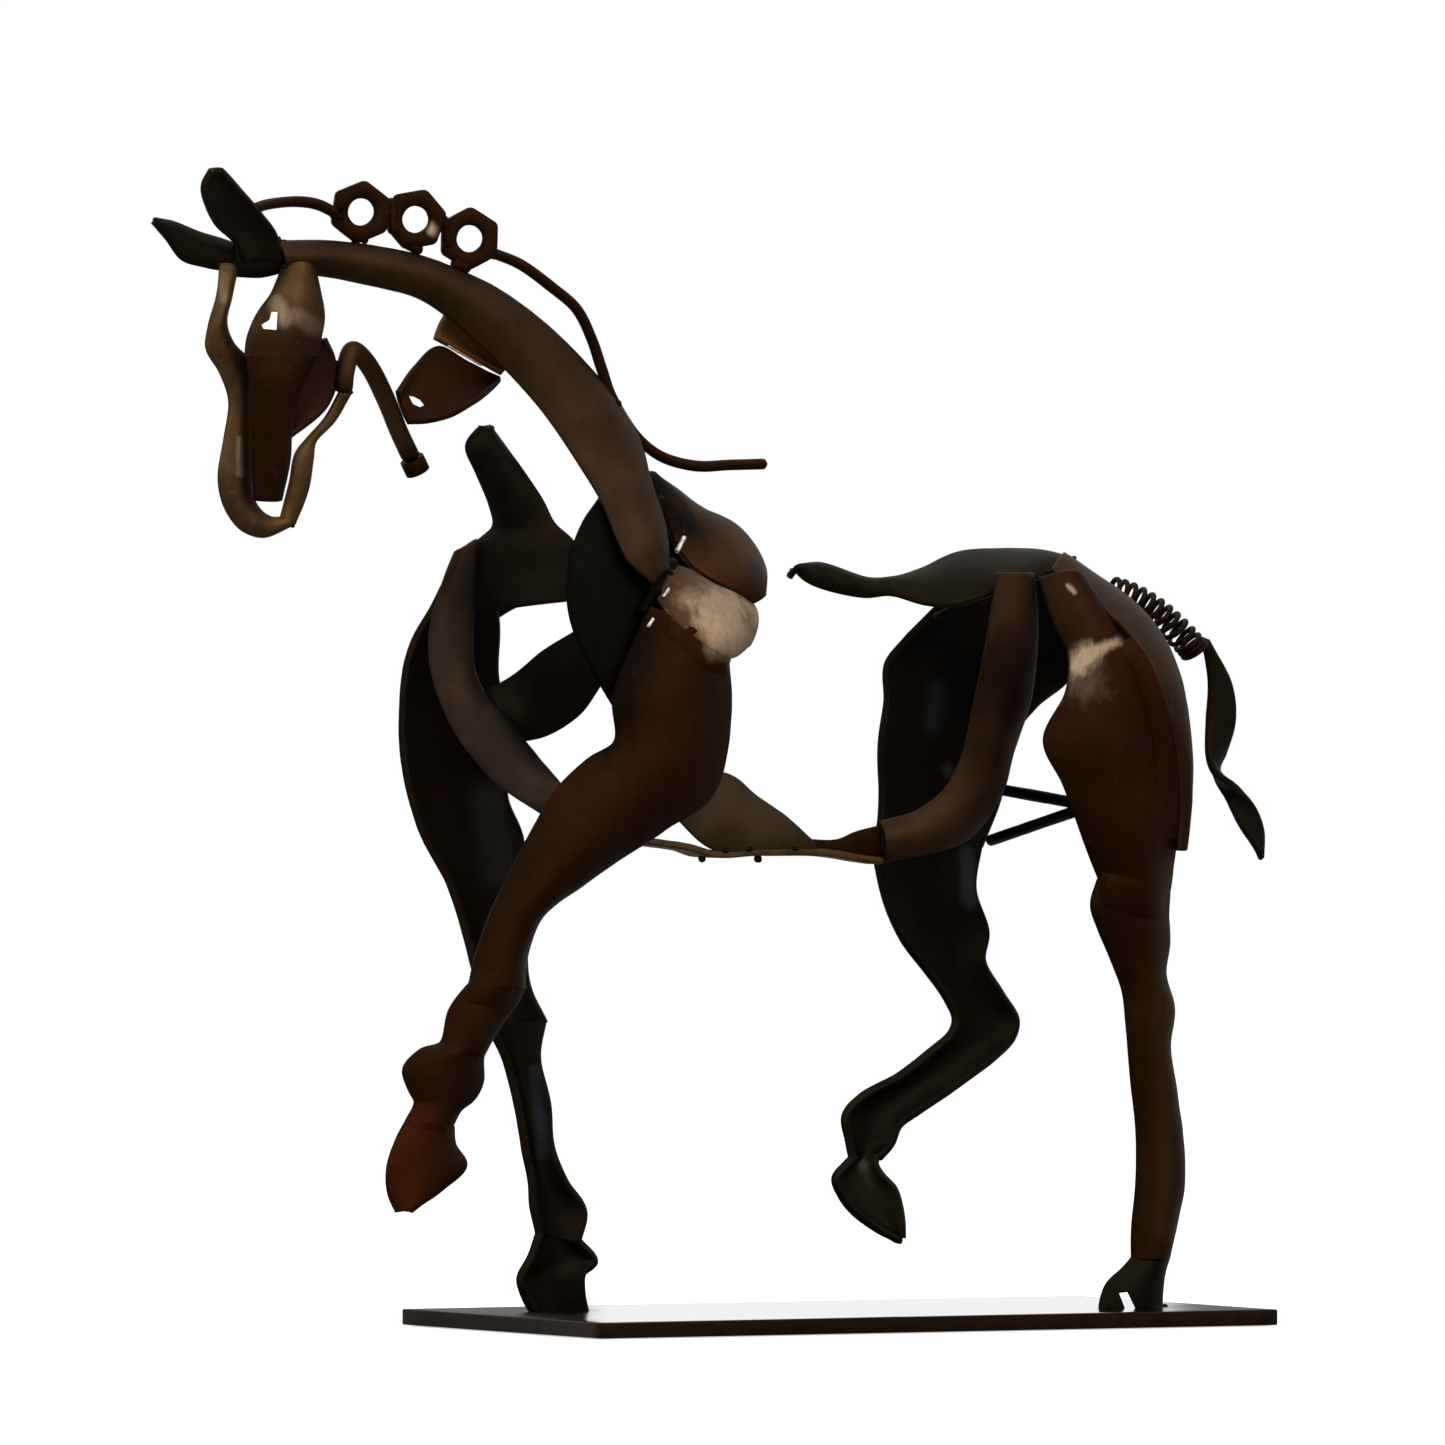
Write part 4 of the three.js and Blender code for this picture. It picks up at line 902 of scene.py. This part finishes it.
limb("far_hind_leg", FAR,
    [(3.4, 46.2, 10.3), (4.4, 41.5, 10.2), (6.2, 37.2, 10.1), (8.8, 33.6), (10.9, 30.7), (11.6, 29),
     (11.2, 27.6), (9.6, 26.1), (6, 23.4), (2, 21.1), (0.5, 19.2), (0.9, 16.8), (1.3, 15.2)],
    [(14.4, 46.4, 10.3), (13.8, 42, 10.2), (15.1, 37.7, 10.1), (14.7, 34.8), (16.5, 31.6), (18.1, 28.9),
     (17.7, 27), (16, 25.2), (12, 22.2), (8.5, 19.8), (6.3, 18.2), (5.5, 16.4), (4.4, 15.2)],
    crown=-1.5, flush="start end", beside=10)

limb("far_hind_hoof", FAR,
    [(1.5, 15.1), (0.6, 14.3), (-0.5, 13), (0.2, 11.1), (1.8, 9.2), (4, 7.7), (6.1, 6.7)],
    [(4, 15.1), (3.9, 14.4), (4.6, 13.3), (5.8, 12), (6.3, 10.5), (6.5, 8.8), (6.5, 7.2)],
    crown=-1.15, flush="start", beside=10)

sheet("rump_band", OLIVE,
    [(22.5, 75.4, -0.3), (25.2, 73.6, -1), (28.2, 71.6, -2.5), (30.7, 69.3, -4.5), (32.8, 66.2, -6.5),
     (34.2, 62.3, -8), (34.8, 57.4, -9.5), (34.7, 51, -10.5), (33.9, 46.3, -10.5)],
    [(21.2, 73.8, -5), (24.3, 71.6, -7.4), (27, 69.5, -9.4), (29.3, 67.2, -10.8), (31, 64.5, -11.8),
     (32.5, 60.5, -12.4), (33.5, 56.5, -12.4), (34, 51, -12), (33.7, 46.2, -11.4)],
    crown=0.65)

sheet("croup_far_plate", FAR,
    [(10.5, 74.6), (16, 75.6), (22, 75), (26, 72.6)],
    [(10.5, 71.4, 3), (15, 72.2, 3.4), (20.5, 73.2, 3.4), (24, 72, 2.8)],
    crown=-0.75, beside=1)

sheet("tail_ribbon", FAR,
    [(36.5, 66.5), (37, 62.5), (36.8, 59), (36.9, 55.5, -0.8), (37.7, 53.6, -1.7), (40, 52.1, -0.8),
     (41.8, 50.4), (42.7, 48), (42.6, 45.4)],
    [(37, 66.9), (39.3, 62.7), (39.7, 59), (38.7, 55.8, 0.8), (37.7, 53.8, 1.7), (38.8, 51, 0.8),
     (40.3, 48.4), (41.7, 46.3), (42.4, 45.2)],
    crown=0.3)

BELLY_ROUTE = [
    (-20, 46.9, -9.6), (-16, 46.3, -8.1), (-13.9, 45.7, -7), (-8, 45.8, -3.9), (-1.8, 45.7, -1), (3.6, 44.9),
]
belly_line = [spot(place) for place in BELLY_ROUTE]
belly_edges = [[], []]
for i, point in enumerate(belly_line):
    along = belly_line[min(i + 1, len(belly_line) - 1)] - belly_line[max(i - 1, 0)]
    aside = along.cross(Vector((0, 0, 1))).normalized() * BELLY_STRIP / 2
    belly_edges[0].append(point + aside)
    belly_edges[1].append(point - aside)
formed("belly_strip", TAN, belly_edges, 0.0, SHEET)

rod("thigh_brace_upper", DARK, [(16.2, 52, 10.2), (23, 50.8, -9.6)], BRACE_ROD)
rod("thigh_brace_lower", DARK, [(15.2, 46.9, 9.8), (23.4, 49.8, -9.6)], BRACE_ROD)

coil("tail_spring", BROWN, [(27, 72), (29, 71.4), (31.2, 70.2), (33.2, 68.6), (35, 66.8), (35.8, 65.8)],
    SPRING_ACROSS, SPRING_WIRE, SPRING_TURNS)

# Welds

TACK_SPACING = 6.5 * MM
TACK_SIZE = 0.6 * MM
MELT_CELL = 0.25 * MM
RAY_START = 200 * MM
FLUSH_PARTS = (
    "near_fore", "far_fore", "near_thigh near_hind", "far_thigh far_hind", "face_plate muzzle_plate",
)
GROUND_SMOOTH = ("withers_lower_plate", "near_thigh")


def tack_places(one, other):
    """Where two pieces run into each other, points along the line at the tacks' spacing, and its way"""
    middles = [one.data.polygons[face].center for face, _ in trees[one].overlap(trees[other])]
    if len(middles) < 3:
        return []
    centre = sum(middles, Vector()) / len(middles)
    far = max(middles, key=lambda p: (p - centre).length)
    way = (far - centre).normalized()
    chosen = []
    for middle in sorted(middles, key=lambda p: (p - centre).dot(way)):
        if all((middle - taken).length > TACK_SPACING for taken, _ in chosen):
            chosen.append((middle, way))
    return chosen


def flush_pair(one, other):
    """Whether two pieces carry each other's surface on, or were ground smooth where they meet"""
    nodes = [piece.name.removesuffix("_formed") for piece in (one, other)]
    for parts in FLUSH_PARTS:
        if all(any(node.startswith(part) for part in parts.split()) for node in nodes):
            return True
    return any(node in GROUND_SMOOTH for node in nodes)


def lump(shape, place, size):
    """One uneven bead of weld metal"""
    made = bmesh.ops.create_icosphere(shape, subdivisions=2, radius=size)
    for vert in made["verts"]:
        vert.co *= 1 + 0.25 * noise.noise((vert.co + place) * 900)
        vert.co += place


def run_of_weld(shape, start, end, size):
    """Beads in a run from one point of the drawing to another"""
    first, last = spot(start), spot(end)
    count = max(1, math.ceil((last - first).length / (0.5 * size)))
    for i in range(count + 1):
        lump(shape, first.lerp(last, i / count), size)


def fused(name, shape, finish):
    """Melts beads into one skin"""
    welds = show(None, shape, finish, name)
    melt = welds.modifiers.new("fused", "REMESH")
    melt.mode, melt.voxel_size, melt.use_smooth_shade = "VOXEL", MELT_CELL, True
    settled(welds)


trees = {}
bpy.context.view_layer.update()
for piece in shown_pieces():
    if "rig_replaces" in piece:
        trees[piece] = tree_of(piece.data)
beads = bmesh.new()
for one, other in combinations(sorted(trees, key=lambda p: p.name), 2):
    if flush_pair(one, other):
        continue
    for place, way in tack_places(one, other):
        for step in (-1, 0, 1):
            lump(beads, place + way * step * 0.7 * TACK_SIZE, TACK_SIZE * (1 if step == 0 else 0.8))
fused("weld_tacks", beads, FAR)

# Runs of weld: from one point of the drawing to another, and the bead's radius
WELD_RUNS = {
    "crest_welds": (BROWN, [
        ((-44.8, 110.4, 0.3), (-44.6, 107.9, -0.3), 1.15), ((-39.5, 108.8), (-39.2, 106.6), 1.0),
        ((-42.8, 106.4), (-42.2, 106, -0.2), 1.3), ((-38.2, 104.4), (-37.6, 104.2), 1.5),
        ((-47.8, 107), (-47.4, 106.8), 0.8), ((-50.4, 109.3), (-50, 109.2), 1.0),
        ((-34.8, 105.6), (-34.4, 105.4), 1.0), ((-23.9, 94.3), (-23.6, 93.5), 1.0),
    ]),
    "withers_welds": (DARK, [
        ((-18.6, 72, -9.4), (-16.8, 74.6, -7.6), 1.2), ((-17.6, 71.4, -9.4), (-17, 73.4, -8.4), 1.1),
        ((-19.6, 70, -9.4), (-18.4, 71.8, -9.4), 1.2), ((-19.6, 68.4, -9.6), (-19.4, 69.6, -9.4), 0.9),
    ]),
    "chest_tip": (FAR, [
        ((-36, 87.8, 0), (-34.9, 88, 0), 0.9),
    ]),
    "chin_welds": (TAN, [
        ((-55.6, 78.6), (-54.7, 78.6), 0.75),
    ]),
    "belly_drips": (FAR, [
        ((-13.8, 45.3, -7), (-13.8, 45.2, -7), 0.8), ((-8.2, 45.2, -4), (-8.2, 45.1, -4), 0.85),
        ((9.8, 69.4, 3.6), (10.6, 69.8, 3.6), 0.8),
    ]),
    # Painted glints: beads coloured near white along seams where the light catches
    "polished_welds": (GLINT_WELD, [
        ((-15.6, 77.2, -5.1), (-16.2, 75.9, -5.35), 0.55), ((-16.6, 74.6, -7.6), (-16.9, 74.3, -7.8), 0.6),
        ((-17.2, 72, -9.8), (-17.6, 71.4, -10.2), 0.5), ((-39.1, 96.3, 1.2), (-35.8, 94.4, 1.2), 0.32),
        ((-18.7, 69, -10.4), (-19.1, 68.4, -10.45), 0.5), ((-5.5, 46.7, -3.4), (-5.4, 46.6, -3.4), 0.4),
        ((-53.9, 105.2, -1.4), (-53.8, 105.1, -1.4), 0.5),
    ]),
}


def on_face(place, nodes):
    """Where the face of these nodes that is turned to the drawing's viewer lies at a point of the drawing"""
    nearest = None
    for piece, tree in trees.items():
        if piece.name.removesuffix("_formed") in nodes:
            hit = tree.ray_cast(spot(place) + AWAY * RAY_START, -AWAY)[0]
            if hit and (nearest is None or (hit - nearest).dot(AWAY) > 0):
                nearest = hit
    return nearest


# How far the edges of a filed seam lie under the faces beside it, how thick its metal is, and its cells
SUNK = 0.16 * MM
SEAM_METAL = 0.5 * MM
SEAM_STEPS = 24
SEAM_ROWS = 10


def skimmed(name, finish, nodes, first, last, proud=0.3 * MM):
    """Weld metal filed smooth over a seam of these nodes: a strip from one line of the drawing to another"""
    shape = bmesh.new()
    edges = [smooth_line([Vector((*place, 0)) for place in line], SEAM_STEPS) for line in (first, last)]
    pairs = ([on_face(place[:2], nodes) for place in pair] for pair in zip(*edges))
    strip = []
    for i, (start, end) in enumerate(pair for pair in pairs if None not in pair):
        along = i / (len(edges[0]) - 1)
        column = []
        for k in range(SEAM_ROWS + 1):
            bulge = abs(math.sin(math.pi * k / SEAM_ROWS)) ** 0.8 * min(1, 3 * math.sin(math.pi * along))
            column.append(start.lerp(end, k / SEAM_ROWS) + AWAY * (proud * bulge - SUNK))
        strip.append(column)
    upper, lower = (
        [[shape.verts.new(point - AWAY * below) for point in column] for column in strip]
        for below in (0, SEAM_METAL)
    )
    for i in range(len(strip) - 1):
        for k in range(SEAM_ROWS):
            shape.faces.new((upper[i][k], upper[i + 1][k], upper[i + 1][k + 1], upper[i][k + 1]))
            shape.faces.new((lower[i][k], lower[i][k + 1], lower[i + 1][k + 1], lower[i + 1][k]))
        for k in (0, SEAM_ROWS):
            shape.faces.new((upper[i][k], upper[i + 1][k], lower[i + 1][k], lower[i][k]))
    for i in (0, len(strip) - 1):
        for k in range(SEAM_ROWS):
            shape.faces.new((upper[i][k], upper[i][k + 1], lower[i][k + 1], lower[i][k]))
    return show(None, shape, finish, name)


skimmed("hip_seam", BROWN, ("near_thigh", "rump_band"),
    [(29.6, 67.6), (31.2, 65.1), (32.7, 61), (33.7, 56.5), (34.15, 51), (33.85, 47)],
    [(27.4, 66.4), (29, 64), (30.4, 60.4), (31.4, 56.4), (31.8, 51), (31.6, 47)], proud=0.4 * MM)
skimmed("hock_seam", BROWN, ("near_thigh", "near_hind_leg"),
    [(26.2, 44), (29.4, 43.3), (32.8, 42.9)], [(25.8, 40.2), (29.2, 39.2), (32.6, 38.8)], proud=0.6 * MM)
skimmed("knee_seam", BROWN, ("near_forearm", "near_fore_cannon"),
    [(-36.2, 34.4), (-34.1, 34.2), (-32, 33.9)],
    [(-37.8, 31), (-35, 30.2), (-32.8, 29.8)], proud=0.6 * MM)
skimmed("pastern_seam", BROWN, ("near_fore_cannon", "near_fore_hoof"),
    [(-42.8, 19.7), (-41, 19.6), (-39.1, 19.3)], [(-43, 18.3), (-41, 18), (-39, 17.8)])
skimmed("shoulder_seam", BROWN, ("withers_lower_plate", "near_forearm"),
    [(-17.4, 69.6), (-15.2, 68.2), (-12.8, 66.2), (-10.8, 65.4)],
    [(-18.2, 67.4), (-16, 66), (-13.6, 64), (-11.4, 63.2)])
skimmed("brow_seam", TAN, ("face_plate", "muzzle_plate"),
    [(-58.8, 96), (-55.6, 96), (-52.5, 96)], [(-58.7, 94.5), (-55.6, 94.4), (-53, 94.3)])
for name, (finish, runs) in WELD_RUNS.items():
    beads = bmesh.new()
    for start, end, size in runs:
        run_of_weld(beads, start, end, size * MM)
    fused(name, beads, finish)

# Setting: a pale floor, a white surround, a long lens level with the horse, and soft light from its left

FLOOR_REACH = 1.5
FLOOR_GAP = 0.2 * MM
ROOM_LIGHT = 0.9
LIT_HEIGHT = 110 * MM
floor_shape = bmesh.new()
bmesh.ops.create_circle(floor_shape, cap_ends=True, segments=96, radius=FLOOR_REACH)
bmesh.ops.translate(floor_shape, vec=(0, 0, -FLOOR_GAP), verts=floor_shape.verts)
floor = placed("floor", floor_shape)
floor.visible_glossy = False
paper = bpy.data.materials.new("floor_paper")
shader = Shader(paper)
grain = shader.noise(shader.place(), 40.0)
inputs = {
    "Base Color": shader.mix(grain, colour(243, 242, 240), colour(248, 247, 246)),
    "Roughness": 0.9,
    "Emission Color": colour(255, 255, 255),
    "Emission Strength": 0.55,
}
shader.node("OutputMaterial", {}, {"Surface": shader.node("BsdfPrincipled", {}, inputs)})
floor.data.materials.append(paper)

world = bpy.data.worlds.new("studio")
bpy.context.scene.world = world
shader = Shader(world)
direction = shader.place("Generated")
height = shader.node("SeparateXYZ", {}, {0: direction}, 2)
room = shader.mix(shader.smooth(height, -0.6, 0.9), colour(150, 146, 142), colour(222, 219, 215))
behind = shader.smooth(shader.dot(direction, (SIN_ROUND, COS_ROUND, 0)), 0.93, 0.99)
level = shader.smooth(height, -0.02, 0.0) * (1 - shader.smooth(height, 0.2, 0.4))
room = shader.mix(behind * level, room, (1.25, 1.25, 1.25, 1.0))
surround = shader.node("Background", {}, {"Color": room, "Strength": ROOM_LIGHT})
white = shader.node("Background", {}, {"Color": colour(255, 255, 255), "Strength": 1.0})
seen = shader.node("LightPath", {}, {}, "Is Camera Ray")
either = shader.node("MixShader", {}, {0: seen, 1: surround, 2: white})
shader.node("OutputWorld", {}, {"Surface": either})


def aimed(place, target):
    """Stands something at place, looking at target"""
    return Matrix.Translation(place) @ (target - place).to_track_quat("-Z", "Y").to_matrix().to_4x4()


def softbox(name, place, size, power, tint):
    """A square light that looks at the horse"""
    light = bpy.data.lights.new(name, "AREA")
    light.shape, light.size, light.energy, light.color = "SQUARE", size, power, tint
    added(name, light).matrix_world = aimed(Vector(place), Vector((0, 0, LIT_HEIGHT)))


softbox("key", (0.1, -0.9, 0.8), 0.9, 4, (1.0, 0.95, 0.88))
softbox("fill", (-0.9, -0.6, 0.35), 0.9, 2, (0.95, 0.97, 1.0))
softbox("top", (0.0, 0.2, 1.0), 0.9, 2.5, (1.0, 0.98, 0.95))

# The photograph's width and middle in squares of the drawing, and how many metres away the camera stands
PHOTO_WIDTH = 144.5
PHOTO_MIDDLE = (-11.75, 58.75)
CAMERA_AWAY = 10.0
aim = spot(PHOTO_MIDDLE)
lens = bpy.data.cameras.new("camera")
lens.sensor_width = 36
lens.lens = lens.sensor_width * CAMERA_AWAY / (PHOTO_WIDTH * SQUARE)
lens.clip_start, lens.clip_end = 1.0, 100.0
camera = added("camera", lens)
camera.matrix_world = aimed(aim + AWAY * CAMERA_AWAY, aim)
bpy.context.scene.camera = camera
bpy.context.scene.view_settings.view_transform = "Standard"
